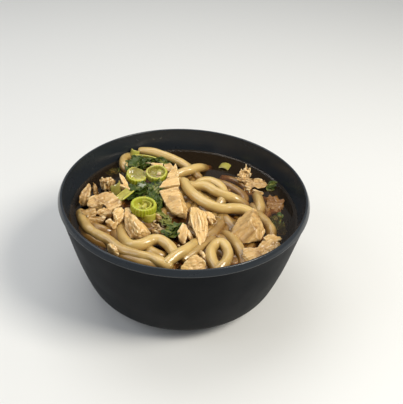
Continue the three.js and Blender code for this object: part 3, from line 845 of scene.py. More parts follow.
def broth_profile(bowl):
    """The broth's section from the middle of its face, up at the wall and down to the floor."""
    level = BROTH_LEVEL / MM
    side = lambda z: wall_radius(z, bowl) - bowl.wall / MM + SKIN_OVERLAP
    top = [(r, level) for r in spaced(0, side(level) - LEVEL_EDGE, 66)]
    rise = [(side(level) - away, level + up) for away, up in MENISCUS]
    wall = [(side(z), z) for z in [level + CLIMB] + spaced(level - 1, INNER_TURN_HEIGHT, 12)]
    floor_z = FLOOR_HEIGHT - SKIN_OVERLAP
    bottom = turn_into(side, INNER_TURN_HEIGHT, floor_z, FLOOR_RADIUS, steps=6)[::-1][1:]
    return top + rise + wall + bottom + [(0, floor_z)]


def drop(place, radius):
    """One small ball, in millimetres."""
    deselect()
    bpy.ops.mesh.primitive_uv_sphere_add(
        segments=14, ring_count=8, radius=radius * MM, location=place * MM)
    return added("drop")


class UDON_OT_broth(bpy.types.Operator):
    """Fills the bowl with broth that climbs a little where it wets the wall, and adds its
    bubbles and drops."""
    bl_idname = "udon.broth"
    bl_label = "Broth"

    def execute(self, context):
        broth = turned("broth_fill", broth_profile(context.scene.udon_bowl), steps=240)
        smooth(broth, 60)
        dress(broth, soup(context.scene.udon_broth), ["broth"])

        rng = random.Random(5)
        drops = []
        for start, end, count in BUBBLE_ROWS:
            for i in range(count):
                place = Vector(start).lerp(Vector(end), (i + rng.uniform(-0.3, 0.3)) / count)
                place += Vector((0, rng.uniform(-0.7, 0.7), 0))
                drops.append(drop(place, rng.uniform(0.35, 0.75)))
        drops += [drop(Vector(place), radius) for place, radius in WALL_DROPS]
        beads = join(drops, "broth_drops")
        settle(beads)
        smooth(beads, 80)
        dress(beads, clear_broth())
        return {"FINISHED"}


# ---- Chicken ----

# For each piece: the way its fibres run (turn about Z and rise, in degrees), the length and
# width of a bundle of fibre in millimetres, how deep the bundles are parted, how rough the meat
# is torn, and the share of seasoning that it has taken up.
FIBRES = {
    1: (75, 50, (12, 3.4), 1.0, 0.7, 0.38),
    2: (80, 60, (12, 2.6), 1.5, 0.7, 0.4),
    3: (35, 10, (14, 4), 0.8, 0.8, 0.28),
    4: (-14, 0, (14, 3), 0.5, 0.7, 0.45),
    5: (50, 30, (9, 3), 0.55, 0.9, -0.1),
    6: (-45, -20, (12, 3), 0.6, 0.7, -0.05),
    7: (8, 8, (12, 2.4), 0.4, 0.5, 0.05),
    8: (8, 8, (14, 2.6), 0.35, 0.4, 0),
    9: (12, 5, (16, 3), 0.4, 0.45, 0.05),
    10: (-85, -40, (10, 4), 0.4, 0.5, 0.15),
    11: (-82, -14, (18, 3), 0.9, 0.5, -0.05),
    12: (30, 40, (14, 5), 0.6, 0.5, 0.34),
    13: (30, 0, (8, 3.4), 0.5, 0.9, 0.36),
    14: (80, 60, (12, 2), 0.9, 1, 0.15),
    15: (-12, 0, (12, 2.2), 1.2, 1, 0.38),
    16: (-8, 0, (12, 2), 0.7, 0.8, 0.35),
    17: (10, 10, (10, 2.6), 1.1, 1.2, 0.9),
    18: (12, 0, (10, 3), 0.5, 0.8, 0),
    19: (-55, 30, (9, 2.4), 0.5, 0.8, 0.2),
    20: (-30, 10, (6, 1.8), 0.6, 1, 0.05),
    21: (5, 0, (9, 1.8), 0.5, 0.8, 0),
    22: (120, -20, (10, 1.8), 0.2, 0.1, -0.1),
}

# The lobes of each piece: the level of its underside and the corners that its skin is drawn
# tight over, in millimetres.
LOBES = {
    1: [
        (67, [(-72.5, 8.5, 79.5), (-70, 5.5, 79), (-74, 1, 79), (-77, -2.5, 77.5), (-78, -6, 75.5),
            (-77.5, -8, 71.5), (-76.5, -8.5, 68.5), (-73.5, -8.5, 67.5), (-71.5, -7, 67.5),
            (-70, -7, 73), (-69, -1.5, 76.5)]),
        (67.5, [(-70, 8.5, 79.5), (-68, 8.5, 79), (-65.5, 6, 77), (-64.5, 5.5, 74), (-66, 5, 71.5),
            (-69, 3, 71.5), (-70, 6, 75)]),
    ],
    2: [
        (67, [(-67.5, 20.5, 74.5), (-66, 20.5, 75.5), (-63.5, 21.5, 76), (-59, 22, 76),
            (-56, 21, 75), (-53.5, 21, 73.5), (-55, 16, 73), (-56, 14, 70.5), (-59, 13, 69),
            (-63, 12, 69), (-65.5, 13.5, 71), (-67.5, 17.5, 73), (-62.5, 14, 76.5), (-58, 15, 76)]),
    ],
    3: [
        (69, [(-70, -8.5, 77), (-67, -7, 78), (-62, -3.5, 78.5), (-59.5, -2, 78.5),
            (-57.5, -14, 76.5), (-61, -16.5, 75), (-69, -16.5, 74), (-70.5, -14, 75.5)]),
        (69, [(-60, -2, 78.5), (-54.5, 0, 78.5), (-53, -2, 78), (-50, -6, 77.5), (-47.5, -7, 77),
            (-45, -9.5, 76), (-44.5, -12, 74), (-48.5, -12.5, 73), (-51.5, -15.5, 72.5),
            (-53.5, -18, 72), (-57.5, -14.5, 75)]),
        (68.5, [(-73, -20.5, 74), (-70.5, -20, 75), (-64.5, -18, 76), (-61.5, -19, 75.5),
            (-61.5, -22.5, 73.5), (-61, -24, 72), (-67, -24.5, 71), (-71, -23, 71.5)]),
        (68.5, [(-61, -20.5, 75.5), (-57.5, -16, 76), (-55.5, -16.5, 75.3), (-50.5, -17.5, 74),
            (-50, -21, 72.5), (-55, -22, 72), (-59, -22.5, 72), (-61, -23, 73)]),
    ],
    4: [
        (66.5, [(-75.5, -21.5, 71), (-72.5, -22, 71.5), (-69.5, -26, 71), (-61, -26, 71),
            (-54, -22.5, 71), (-55.5, -26, 69.5), (-60, -26.5, 68.5), (-65.5, -27.5, 68),
            (-70.5, -26, 68.5), (-74.5, -23.5, 69)]),
    ],
    5: [
        (68.5, [(-50.5, -23.5, 76), (-48.5, -22, 78), (-46.5, -19.5, 78.5), (-43.5, -19, 78),
            (-41.5, -20.5, 77), (-41, -24, 76), (-42, -27, 74), (-43.5, -29.5, 72.5),
            (-46, -29, 72.5), (-49, -26.5, 74)]),
        (69, [(-50, -22.5, 77), (-49, -22, 77.5), (-45, -29, 74.5), (-44.5, -31, 71.5),
            (-46.5, -30.5, 71.5), (-49.5, -25.5, 75)]),
        (67, [(-54.5, -30, 73.5), (-51.5, -28.5, 74.5), (-49, -29, 74), (-46, -30.5, 72),
            (-44.5, -32, 70.5), (-46.5, -33.5, 68.5), (-49.5, -32, 69), (-53, -31, 71)]),
    ],
    6: [
        (67.5, [(-38, -25, 78), (-36.5, -25.5, 78.5), (-33.5, -30.5, 79), (-30, -31, 78),
            (-27, -34, 77), (-24, -36.5, 75), (-23.5, -38.5, 73.5), (-20.5, -38, 71),
            (-22.5, -41, 70.5), (-26, -43, 70), (-29.5, -43.5, 68.5), (-33, -42.5, 70),
            (-35, -39.5, 72), (-37, -36.5, 74.5), (-38, -31, 76.5), (-32.5, -38, 79.5),
            (-28, -42, 78), (-29.5, -44.5, 75.5)]),
        (67.5, [(-41.5, -28, 74), (-39, -27, 76), (-36.5, -33.5, 74), (-34, -39.5, 71),
            (-31, -42.5, 68.5), (-35, -43, 68.5), (-38.5, -37, 70.5), (-40, -33.5, 72)]),
        (68, [(-42, -16, 75.5), (-38.5, -15, 75.5), (-36.5, -20, 74.5), (-38, -25.5, 74),
            (-41, -27.5, 72.5), (-42.5, -22, 74.5)]),
    ],
    7: [
        (70, [(-11, 40, 79), (-9.5, 41.5, 80), (-8, 31.5, 79), (-6, 26, 78), (-7, 24.5, 77),
            (-12.5, 27, 76), (-16.5, 26, 75), (-15, 30.5, 76.5), (-13, 35.5, 78)]),
        (69, [(-20.5, 46.5, 74.5), (-15, 49, 75), (-11, 42, 76), (-14, 35.5, 75), (-17, 37, 74)]),
    ],
    8: [
        (69, [(-16, 22, 77.5), (-12, 23.5, 78), (-7, 23.5, 79), (-5.5, 21, 78.5), (-4.5, 16, 76.5),
            (-7, 15, 76.5), (-12, 14.5, 75.5), (-16, 13.5, 74.5), (-20.5, 12.5, 74), (-21, 13, 75),
            (-18, 18.5, 76.5)]),
    ],
    9: [
        (67.5, [(-20, 5, 77.5), (-16, 5.5, 78.5), (-6, 8, 80), (-2.5, -6.5, 77.5), (0, -16.5, 73.5),
            (1, -16.5, 68), (-5.5, -15.5, 70.5), (-10, -12.5, 71.5), (-14, -7, 73),
            (-17.5, -1, 75.5), (-2.5, 9, 73), (0.5, -1.5, 70.5), (3, -6, 69.5), (3, -10, 68),
            (2.5, -15.5, 67)]),
    ],
    10: [
        (67, [(0.5, -30.5, 76.5), (3, -32, 76), (-3.5, -37, 73), (4.5, -34, 74), (3.5, -37, 73.5),
            (4, -41.5, 71), (3, -44.5, 68.5), (1, -44.5, 67.5), (-1.5, -42.5, 69), (-2.5, -41, 71),
            (-2.5, -37.5, 73.5), (-1, -34.5, 75)]),
        (66.8, [(4, -34, 74), (5.5, -35, 73.5), (8, -38, 70.5), (9, -39.5, 69), (7, -40.5, 68),
            (5.5, -40, 70), (4, -38, 72)]),
    ],
    11: [
        (69, [(4, -16, 78), (5, -15, 79.5), (8.5, -15, 80), (11.5, -16.5, 79.5), (15.5, -18.5, 78),
            (17, -21.5, 77.5), (18.5, -29.5, 76.5), (19, -34.5, 75), (18.5, -39.5, 73.8),
            (17, -44.5, 72.2), (14.5, -48.5, 71), (12.8, -48.7, 70.6), (12, -47, 71.2),
            (10, -42, 74), (7.5, -35.5, 76), (4, -23, 77.5), (12, -32, 79)]),
        (68, [(4, -18.5, 77), (4.5, -24, 75), (4, -26, 73), (7, -28.5, 71), (8.5, -31, 70),
            (9, -29, 74), (8, -23, 77)]),
        (70, [(14, -17, 77.5), (17.5, -16, 77.5), (21, -16.5, 76.5), (23, -19.5, 75.5),
            (25, -24, 73), (21, -22, 74), (17.5, -21.5, 76)]),
        (70, [(14.5, -18.5, 77), (18, -18, 77), (21, -22, 74), (22.5, -25, 71.5), (19, -24.5, 73),
            (17, -22.5, 75.5)]),
    ],
    12: [
        (67, [(50.1, -13.2, 80), (52.3, -13.5, 79.5), (43.8, -15.7, 76.5), (53.6, -18.5, 78),
            (39, -18.8, 74), (35.5, -26.4, 72), (32.2, -34.6, 68.5), (34.4, -37, 67.5),
            (46.7, -28.1, 80), (49.8, -33.3, 76.5), (52, -37, 70.5), (47, -39.2, 67.5),
            (42, -40.5, 67.5)]),
        (67, [(51, -13.4, 79.5), (53.6, -18.5, 78), (46.7, -28.1, 79.8), (50, -33.5, 76.3),
            (52.2, -37.2, 70.5), (54, -37.5, 69), (55.7, -35.8, 69.5), (58.6, -29.8, 72),
            (57.1, -25.9, 75), (48, -38.5, 67.5)]),
    ],
    13: [
        (66.5, [(41.8, -49.7, 73), (53.1, -49.4, 74), (54.3, -55.2, 72.5), (49.7, -57.8, 71),
            (45.2, -59, 69.5), (40.7, -55.9, 69.5), (41.2, -52.7, 72), (54, -60.5, 67),
            (45, -61.5, 66.5)]),
        (66.5, [(54.5, -43.5, 75), (60, -42.5, 75.5), (64, -42.5, 75.5), (67.5, -43.5, 74),
            (69, -46.5, 69.5), (64, -52.5, 68.5), (57.5, -58, 68.5), (50.5, -50.5, 73.5),
            (51.5, -59, 68)]),
        (67, [(55.5, -39, 74), (59.5, -35.5, 74), (64, -35, 74), (68.5, -35.5, 73), (70, -37.5, 72),
            (65, -42.5, 74), (57.5, -44, 74.5)]),
    ],
    14: [
        (66.4, [(41, 46, 70), (44, 48.5, 72), (49, 48.5, 72), (51.5, 46.5, 69.5), (50, 43.5, 67.5),
            (42, 43, 67.5)]),
        (69, [(44.5, 47, 72), (48.5, 46.5, 72), (46.6, 53.6, 76), (47.8, 53.3, 76), (46, 50, 71)]),
        (68.5, [(47, 46.5, 72), (50.5, 45.5, 70.5), (50.6, 51.6, 74.5), (51.8, 51.2, 74.3),
            (49, 49, 70.5)]),
        (68, [(49, 45.5, 70.5), (51, 43.5, 68.5), (52.6, 47.4, 71.5), (52.8, 45.9, 70.8),
            (50, 47, 69.5)]),
        (68, [(41, 45.5, 70), (44.5, 47, 71.5), (42.2, 50.2, 73.2), (43.5, 50.7, 73.5),
            (44, 48.5, 70)]),
        (67, [(38.6, 44.8, 69.5), (40, 46.3, 70), (43, 45.5, 70.5), (42.5, 43.5, 68)]),
    ],
    15: [
        (66.4, [(37.8, 42, 69.5), (42, 41.5, 70.8), (50, 40.5, 71), (55, 40, 70.5), (54, 34, 69),
            (46.5, 34, 68.5), (39, 37.5, 68)]),
        (66.4, [(47, 38.5, 71.5), (53.5, 39.5, 72), (57.5, 39.8, 72), (61, 38, 71.3),
            (63.5, 35.5, 70.8), (65.5, 32, 69.5), (61.5, 29.5, 68.3), (58, 28.5, 67.5),
            (52, 29.5, 68.5), (46.5, 32.5, 68)]),
        (66.4, [(44, 33.5, 68.8), (50, 34, 70), (54, 29.5, 68), (50.5, 27.5, 67), (46, 30.5, 67)]),
    ],
    16: [
        (66.3, [(50.5, 26.5, 68.5), (53, 27.5, 69), (56, 23.5, 69), (60, 23.5, 69.5),
            (62, 22, 68.5), (60.5, 21, 67), (56, 22.5, 67), (52.5, 25, 67)]),
    ],
    17: [
        (64.5, [(61.5, 14.5, 69.5), (64.5, 17.8, 71.3), (67.5, 15.5, 70.5), (68.5, 9, 69),
            (66.5, 4, 67), (62, 5.5, 67), (61, 10, 68.3)]),
        (64.5, [(66.8, 14, 70.5), (68.5, 16.8, 71), (71, 18.2, 71), (72.3, 14, 70), (73, 8, 68.5),
            (70, 3.5, 67), (66, 5, 67)]),
        (64.5, [(70.5, 12.5, 69.5), (75.5, 16.2, 70.3), (74.6, 12, 69.3), (76, 9.3, 68.5),
            (74, 7, 67.8), (74.5, 3.5, 66.5), (69.5, 4, 67)]),
        (63.5, [(60.5, 3.5, 66), (66, 5.5, 66.5), (73.5, 5.5, 66.5), (73.5, 0.5, 65.8),
            (64.5, 0.5, 65.5), (59, 2, 65.5)]),
    ],
    18: [
        (66.5, [(9, -61, 74), (11.5, -60, 74.5), (15, -62, 73.5), (17.5, -64, 71.5),
            (19, -66.5, 69.5), (18.5, -67.5, 67), (11, -70.5, 67), (0.5, -69.5, 67),
            (0.5, -68, 69.5), (3.5, -65, 71), (6.5, -63, 73)]),
        (66.5, [(12.5, -54, 72), (14.5, -53.5, 72.5), (18, -59, 70.5), (20.5, -63, 69),
            (23, -64.5, 68), (19.5, -64, 68), (15.5, -58.5, 70)]),
    ],
    19: [
        (66.5, [(-46.5, -53, 74), (-44, -55, 74.5), (-40.5, -58, 73), (-39, -60, 71),
            (-40, -61.5, 69), (-44.5, -60, 67.5), (-48, -57.5, 69.5), (-48.5, -54.5, 73),
            (-45.5, -58.5, 74.5)]),
    ],
    20: [
        (69, [(-20, -19.5, 76), (-18, -20.5, 76), (-15, -22.5, 74.5), (-14, -23, 73),
            (-17.5, -24, 72.5), (-20, -21.5, 74)]),
        (69, [(-22, -30, 75), (-19, -30.5, 75.5), (-16.5, -31, 74.5), (-17.5, -32, 72.5),
            (-20, -32, 72.5)]),
        (69, [(-22.5, -35.5, 74), (-20, -35.5, 74.5), (-16.5, -35.5, 73), (-17.5, -37, 71),
            (-21, -36.5, 71)]),
    ],
    21: [
        (70.5, [(-31, 45, 75.5), (-30, 46.5, 76), (-24.5, 47, 76), (-20, 46.5, 75.5),
            (-20, 44, 74.5), (-24, 41.5, 74), (-28.5, 43, 73.5)]),
    ],
    22: [
        (72.5, [(-53.5, 27, 77.5), (-48.4, 22, 77), (-51.4, 20.2, 77), (-44.4, 16, 75.6),
            (-48, 13.8, 75.6), (-42.8, 11.6, 74), (-45, 10.2, 74)]),
        (71.5, [(-53.5, 13.4, 75.6), (-49.5, 13.8, 75.6), (-50.2, 10.8, 75.6), (-45, 12.4, 75),
            (-45.7, 9.6, 75), (-41.3, 10.8, 73.6), (-42, 8.8, 73.6)]),
    ],
}
FOOT_SHARE = 0.8  # a lobe's underside is this much of its outline
LOBE_VOXEL = 0.5  # size of a face of a lobe's skin, in millimetres
PIECE_VOXEL = 0.42  # and of a whole piece's

# How deep the meat's lumps, tears, bundles of fibre, grooves and threads are, in millimetres,
# in a piece that is torn or parted by 1.
LUMP, TEAR, BUNDLE, GROOVE, THREAD = 1.2, 1.5, 1.0, 0.9, 0.1

# Where crumbs of meat lie: middle and reach in millimetres, and how many.
CRUMB_SPOTS = [
    ((-18, -25, 72), 4.5, 10), ((-20, -34, 70.5), 5, 12), ((-14, -31, 70), 3, 4),
    ((-4.5, -47, 70.5), 3, 5), ((-62, -20, 68.5), 6, 6), ((-31, 46, 72.5), 4, 5),
    ((20, -12, 71.5), 3.5, 5), ((50, 28, 67), 5, 5), ((-22.5, 29, 73.5), 2.5, 4),
    ((38, 24, 64.5), 7, 8),
]
CRUMB_SPREAD = (1.7, 1.1, 0.6)  # a crumb's corners lie about this far from its middle
CRUMB_LAYER = 0.8  # its place is up to this far over or under the spot
CRUMB_DROP = 2.5  # a crumb falls from this far over its place
CRUMB_REST = 0.5  # its middle comes to rest this far over what lies under it
CRUMB_STAIN = 0.35  # share of seasoning that it has taken up
TEAR_SIZE = 4.2


def grain_empty(centre, turn, rise, bundle):
    """An empty whose X lies along the fibres and whose scale is one bundle of them."""
    deselect()
    bpy.ops.object.empty_add(location=centre)
    empty = bpy.context.object
    empty.rotation_euler = Euler((0, -math.radians(rise), math.radians(turn)), "XYZ")
    empty.scale = (bundle[0] * MM, bundle[1] * MM, bundle[1] * MM)
    bpy.context.view_layer.update()
    return empty


def keep_grain(piece, turn):
    """Keeps each point's place along and across the fibres, in millimetres; the turn brings
    the fibres to X."""
    attribute = piece.data.attributes.new("grain", "FLOAT_VECTOR", "POINT")
    for item, vertex in zip(attribute.data, piece.data.vertices):
        item.vector = (turn @ vertex.co) / MM


def lobe(base, corners):
    """A lobe of meat: its skin is drawn tight over its corners, down to its underside."""
    corners = [Vector(corner) for corner in corners]
    middle = sum(corners, Vector()) / len(corners)
    foot = [middle.lerp(corner, FOOT_SHARE).xy.to_3d() + Vector((0, 0, base)) for corner in corners]
    meat = hull("lobe", corners + foot)
    grow_together(meat, LOBE_VOXEL)
    soften(meat)
    return meat


def torn_piece(number, turn, rise, bundle, parted, torn, stained):
    """A torn piece of breast: its lobes grown together, with bundles of fibre at their own
    heights, parted by grooves."""
    piece = join([lobe(*facts) for facts in LOBES[number]], f"chicken_{number:02d}_torn")
    grow_together(piece, PIECE_VOXEL)
    middle = sum((Vector(corner) for corner in piece.bound_box), Vector()) / 8
    empty = grain_empty(middle, turn, rise, bundle)
    roughen(piece, clouds(5), torn * LUMP)
    tears = texture("VORONOI", noise_scale=TEAR_SIZE * MM, color_mode="POSITION")
    roughen(piece, tears, torn * TEAR)
    heights = texture("VORONOI", noise_scale=1.0, color_mode="POSITION")
    roughen(piece, heights, parted * BUNDLE, at=empty)
    grooves = texture("VORONOI", noise_scale=1.0, weight_1=-1.0, weight_2=1.0, noise_intensity=3.0)
    roughen(piece, grooves, parted * GROOVE, at=empty, middle=1.0)
    soften(piece)
    threads = texture("CLOUDS", noise_scale=0.3, noise_depth=2)
    roughen(piece, threads, THREAD, at=empty)
    keep_grain(piece, empty.matrix_world.to_quaternion().inverted())
    bpy.data.objects.remove(empty)
    keep_share(piece, "stained", stained)
    smooth(piece, 60)
    return piece


def crumb(rng, place):
    """One crumb of meat: a thin flake."""
    corners = [Vector([rng.gauss(0, spread) for spread in CRUMB_SPREAD]) for _ in range(9)]
    turn = Matrix.Rotation(rng.uniform(0, math.pi), 3, "Z")
    tilt = Matrix.Rotation(rng.uniform(-0.6, 0.6), 3, "X")
    return hull("crumb", [place + (turn @ tilt) @ corner for corner in corners])


def fallen(context, place):
    """Where a crumb that drops from just over a place, in millimetres, comes to rest on the
    pieces made so far; None where it would start inside one."""
    start = (place + Vector((0, 0, CRUMB_DROP))) * MM
    found, hit, facing, *_ = context.scene.ray_cast(
        context.evaluated_depsgraph_get(), start, Vector((0, 0, -1)))
    return hit / MM + Vector((0, 0, CRUMB_REST)) if found and facing.z > 0 else None


def scatter_crumbs(context, name):
    """The crumbs that fell round the torn pieces, as one mesh; those in the broth hang in it."""
    rng = random.Random(3)
    flakes = []
    for middle, reach, count in CRUMB_SPOTS:
        for _ in range(count):
            away = [rng.uniform(-most, most) for most in (reach, reach, CRUMB_LAYER)]
            place = Vector(middle) + Vector(away)
            if middle[2] * MM > BROTH_LEVEL:
                place = fallen(context, place)
            if place:
                flakes.append(crumb(rng, place))
    crumbs = join(flakes, name)
    round_off(crumbs)
    keep_grain(crumbs, Quaternion())
    keep_share(crumbs, "stained", CRUMB_STAIN)
    smooth(crumbs, 40)
    return crumbs


class UDON_OT_chicken(bpy.types.Operator):
    """Tears the chicken: each piece is grown from its lobes and gets its fibres."""
    bl_idname = "udon.chicken"
    bl_label = "Chicken"

    def execute(self, context):
        material = white_meat(context.scene.udon_chicken)
        for number, facts in FIBRES.items():
            dress(torn_piece(number, *facts), material, [f"chicken_{number:02d}"])
        return {"FINISHED"}


class UDON_OT_crumbs(bpy.types.Operator):
    """Drops the crumbs of meat over all the rest."""
    bl_idname = "udon.crumbs"
    bl_label = "Crumbs"

    def execute(self, context):
        crumbs = scatter_crumbs(context, "chicken_crumbs")
        dress(crumbs, bpy.data.materials["Torn chicken breast"])
        return {"FINISHED"}


# ---- Scallion ----

RIB_HEIGHT = 0.32
WALL_THICKNESS = 1.4
PITH_THICKNESS = 1.2
PITH_LUMP = 2.6  # size of a lump
PITH_INSETS = 7  # rings of faces from its edge to its middle
WARP = (("X", 9, 1.8), ("Z", 7, 1.6))  # direction, size of a lump and depth

# Round slices.  The pith has its width, its height and the depth of its lumps, the layers are
# the width that skin and inner layers take up, and a place is pulled by a vector with what lies
# within reach of it.  All in millimetres and degrees.
SLICES = {
    1: dict(width=18.4, height=6.5, wall=2.3, ribs=26, pith=(14.4, -2.4, 1.4), layers=7.5,
            warp=(), at=(-28.8, -15.3, 76), turn=20, rise=-3, roll=0, tone=0, green=0,
            slot="scallion_green"),
    2: dict(width=16.6, height=5, wall=1.7, ribs=22, pith=(13.6, -0.7, 2.2), layers=2.72,
            warp=WARP, at=(-24.2, 30.6, 75), turn=0, rise=0, roll=10, tone=0.22, green=-20,
            slot="scallion_green"),
    3: dict(width=16, height=4.6, wall=1.5, ribs=22, pith=(13.4, 0.7, 2.2), layers=2.4,
            warp=WARP, at=(-39.8, 27.2, 73.4), turn=6, rise=-10, roll=6, tone=0.3, green=-110,
            slot="scallion_pale", pulled=((-46, 32, 77), (1.5, -1.5, 3), 9)),
}

# Pieces of wall: place, radius, degrees that the wall runs through, height, turn, rise and tone.
WALL_PIECES = {
    4: ((-44.4, 1, 76.8), 3.6, 140, 14.5, 62, -90, 0.25),
    5: ((-56, 12.5, 71.5), 6, 120, 11, -30, 8, 0.85),
    6: ((-24.7, -19, 72), 5, 150, 7, -90, 0, 0.35),
    7: ((-45, 66.5, 71.5), 4, 150, 6, -120, 20, 0.5),
    8: ((30.3, 61, 61), 6.5, 80, 9, 70, 90, 0.8),
    9: ((-41.1, 32.3, 66.8), 30, 46, 4, 76, 8, 0.1),
}


def strip(name, points, height, thickness):
    """A standing wall through points in millimetres, with its own thickness."""
    wall = chain(name, [Vector((x, y, -height / 2)) * MM for x, y in points])
    raise_wall(height, 3)
    mend(wall)
    finish_with(wall, "SOLIDIFY", thickness=thickness * MM, offset=0, use_even_offset=True)
    round_off(wall)
    return wall


def keep_layers(piece, outer, wall, ribs=0, tone=0, green=None):
    """Keeps which layer of the scallion each point lies in: 0 on the skin, 0.5 in the inner
    layers and 1 in the pith, before the piece is laid at its place; its axis is Z.  The crests
    of the skin's ribs are paler, and a tone makes all of it duller, or all but the green side."""
    attribute = piece.data.attributes.new("layer", "FLOAT", "POINT")
    for item, vertex in zip(attribute.data, piece.data.vertices):
        turn = math.atan2(vertex.co.y, vertex.co.x)
        inside = (outer - vertex.co.xy.length / MM) / wall
        crest = 0.1 * (1 + math.cos(ribs * turn)) if ribs else 0
        dull = tone if green is None else tone * (1 - math.cos(turn - math.radians(green)))
        item.value = min(1, max(0, inside) * 0.5 + crest + dull)


def arc(radius, end_radius, degrees, count):
    """Points round Z in millimetres, from one radius to another, with the middle on +X."""
    angles = [math.radians(angle) for angle in spaced(-degrees / 2, degrees / 2, count)]
    radii = spaced(radius, end_radius, count)
    return [(r * math.cos(a), r * math.sin(a)) for r, a in zip(radii, angles)]


def ribbed_ring(name, width, height, wall, ribs):
    """A round slice: its outer skin stands in fine ribs."""
    middle = width / 2 - wall / 2
    ring = circle(name, middle, -height / 2, 4 * ribs)
    raise_wall(height, 4)
    mend(ring)
    finish_with(ring, "SOLIDIFY", thickness=wall * MM, offset=0)
    for vertex in ring.data.vertices:
        reach = vertex.co.xy.length / MM
        turn = math.atan2(vertex.co.y, vertex.co.x)
        if reach > middle:
            swell = 1 + RIB_HEIGHT * math.cos(ribs * turn) / reach
            vertex.co.x *= swell
            vertex.co.y *= swell
    round_off(ring)
    return ring


def curled_layers():
    """The inner layers of the thick slice: one that stands open in a curl, and a folded one."""
    points = arc(radius=5.6, end_radius=4.2, degrees=190, count=20)
    curl = strip("curl", points, height=6, thickness=1.2)
    for direction in "XY":
        roughen(curl, clouds(5), 1.6, direction=direction)
    points = [(-2.2, -3.6), (-0.4, -2), (1, -0.2), (2, 2)]
    fold = strip("fold", points, height=5.2, thickness=2.9)
    roughen(fold, clouds(4), 1.8, direction="Z")
    return [curl, fold]


def pith(name, width, height, bulge):
    """The soft pith that closes a slice, uneven, a little under the rim."""
    disc = circle(name, width / 2, height, 48)
    bpy.ops.mesh.edge_face_add()
    for _ in range(PITH_INSETS):
        bpy.ops.mesh.inset(thickness=width / (2 * PITH_INSETS + 2) * MM)
    bpy.ops.object.mode_set(mode="OBJECT")
    roughen(disc, clouds(PITH_LUMP), bulge, direction="Z")
    finish_with(disc, "SOLIDIFY", thickness=PITH_THICKNESS * MM, offset=-1)
    return disc


class UDON_OT_scallion(bpy.types.Operator):
    """Cuts the scallion: round slices and pieces of its wall."""
    bl_idname = "udon.scallion"
    bl_label = "Scallion"

    def execute(self, context):
        material = cut_scallion(context.scene.udon_greens)
        for number, facts in SLICES.items():
            width, ribs = facts["width"], facts["ribs"]
            parts = [ribbed_ring("skin", width, facts["height"], facts["wall"], ribs)]
            if number == 1:
                parts += curled_layers()
            parts.append(pith("pith", *facts["pith"]))
            piece = join(parts, f"scallion_{number:02d}_slice")
            keep_layers(piece, width / 2, facts["layers"], ribs, facts["tone"], facts["green"])
            for direction, size, depth in facts["warp"]:
                roughen(piece, clouds(size), depth, direction=direction)
            lay(piece, facts["at"], facts["turn"], facts["rise"], facts["roll"])
            if "pulled" in facts:
                pull(piece, *facts["pulled"])
            smooth(piece)
            dress(piece, material, [f"scallion_{number:02d}"])

        for number, (at, radius, degrees, height, turn, rise, tone) in WALL_PIECES.items():
            points = arc(radius, radius, degrees, count=18)
            piece = strip(f"scallion_{number:02d}_wall", points, height, WALL_THICKNESS)
            keep_layers(piece, radius + WALL_THICKNESS / 2, WALL_THICKNESS, tone=tone)
            lay(piece, at, turn, rise)
            smooth(piece)
            dress(piece, material, [f"scallion_{number:02d}"])
        return {"FINISHED"}


# ---- Leaves ----

# Place, length, width, turn and rise of each leaf, and the share of it that is stalk.
LEAVES = {
    1: ((-41, 51, 70.8), 20, 13, 25, 6, 0),
    2: ((-24.5, 55, 70.5), 18, 9, -12, 0, 0),
    3: ((-36, 11, 71), 18, 11, 25, 8, 0),
    4: ((-22, 14, 71.2), 18, 10, 80, 8, 0),
    5: ((-21.5, -3, 71.2), 18, 10, -65, -6, 0),
    6: ((-13, -21.5, 70.5), 16, 6, -62, 0, 0.6),
    7: ((-6.8, -34, 70.8), 14, 11, 55, 6, 0),
    8: ((67.5, 34.8, 67.5), 9, 6, 60, 10, 0),
}

# Leaves that lie wholly in the broth.
SUNK_LEAVES = {
    9: ((69.5, -11, 63), 19, 9, -88, 0, 0),
    10: ((-60, 47, 63), 12, 7, 30, 0, 0),
}

BLADES = 6  # how many blades lie over one another in a leaf
BLADE_SHARE = (0.62, 0.8)  # a blade's length and width, as shares of the leaf's
BLADE_ROW = 0.55  # the middles of the blades fill this share of its length
BLADE_TILT = (50, 20, 55)  # most that a blade turns, rises and rolls, in degrees
BLADE_THICKNESS = 0.4
ROUNDING = 0.75  # how far a blade's corners are drawn into a circle
SPARE = 1.25  # a blade starts larger, as the folds draw it in

# The folds of a blade: direction, and the size and depth of a fold in millimetres.
FOLDS = (("Z", 5.5, 6.5), ("X", 4.6, 5), ("Y", 4.2, 4.5), ("NORMAL", 2.2, 0.7))


def crumpled_leaf(name, length, width, seed):
    """A limp leaf, rounded at its corners and crumpled into folds; in millimetres."""
    rng = random.Random(seed)
    deselect()
    bpy.ops.mesh.primitive_grid_add(x_subdivisions=44, y_subdivisions=30, size=2 * MM)
    leaf = added(name)
    finish_with(leaf, "CAST", cast_type="CYLINDER", factor=ROUNDING, use_z=False,
                use_radius_as_size=False, size=MM)
    leaf.scale = (SPARE * length / 2, SPARE * width / 2, 1)
    settle(leaf)
    for direction, size, depth in FOLDS:
        deselect()
        bpy.ops.object.empty_add(location=[rng.uniform(-1, 1) for _ in range(3)])
        place = bpy.context.object
        bpy.context.view_layer.update()
        roughen(leaf, clouds(size, noise_depth=1), depth, at=place, direction=direction)
        bpy.data.objects.remove(place)
    finish_with(leaf, "SOLIDIFY", thickness=BLADE_THICKNESS * MM, offset=0)
    return leaf


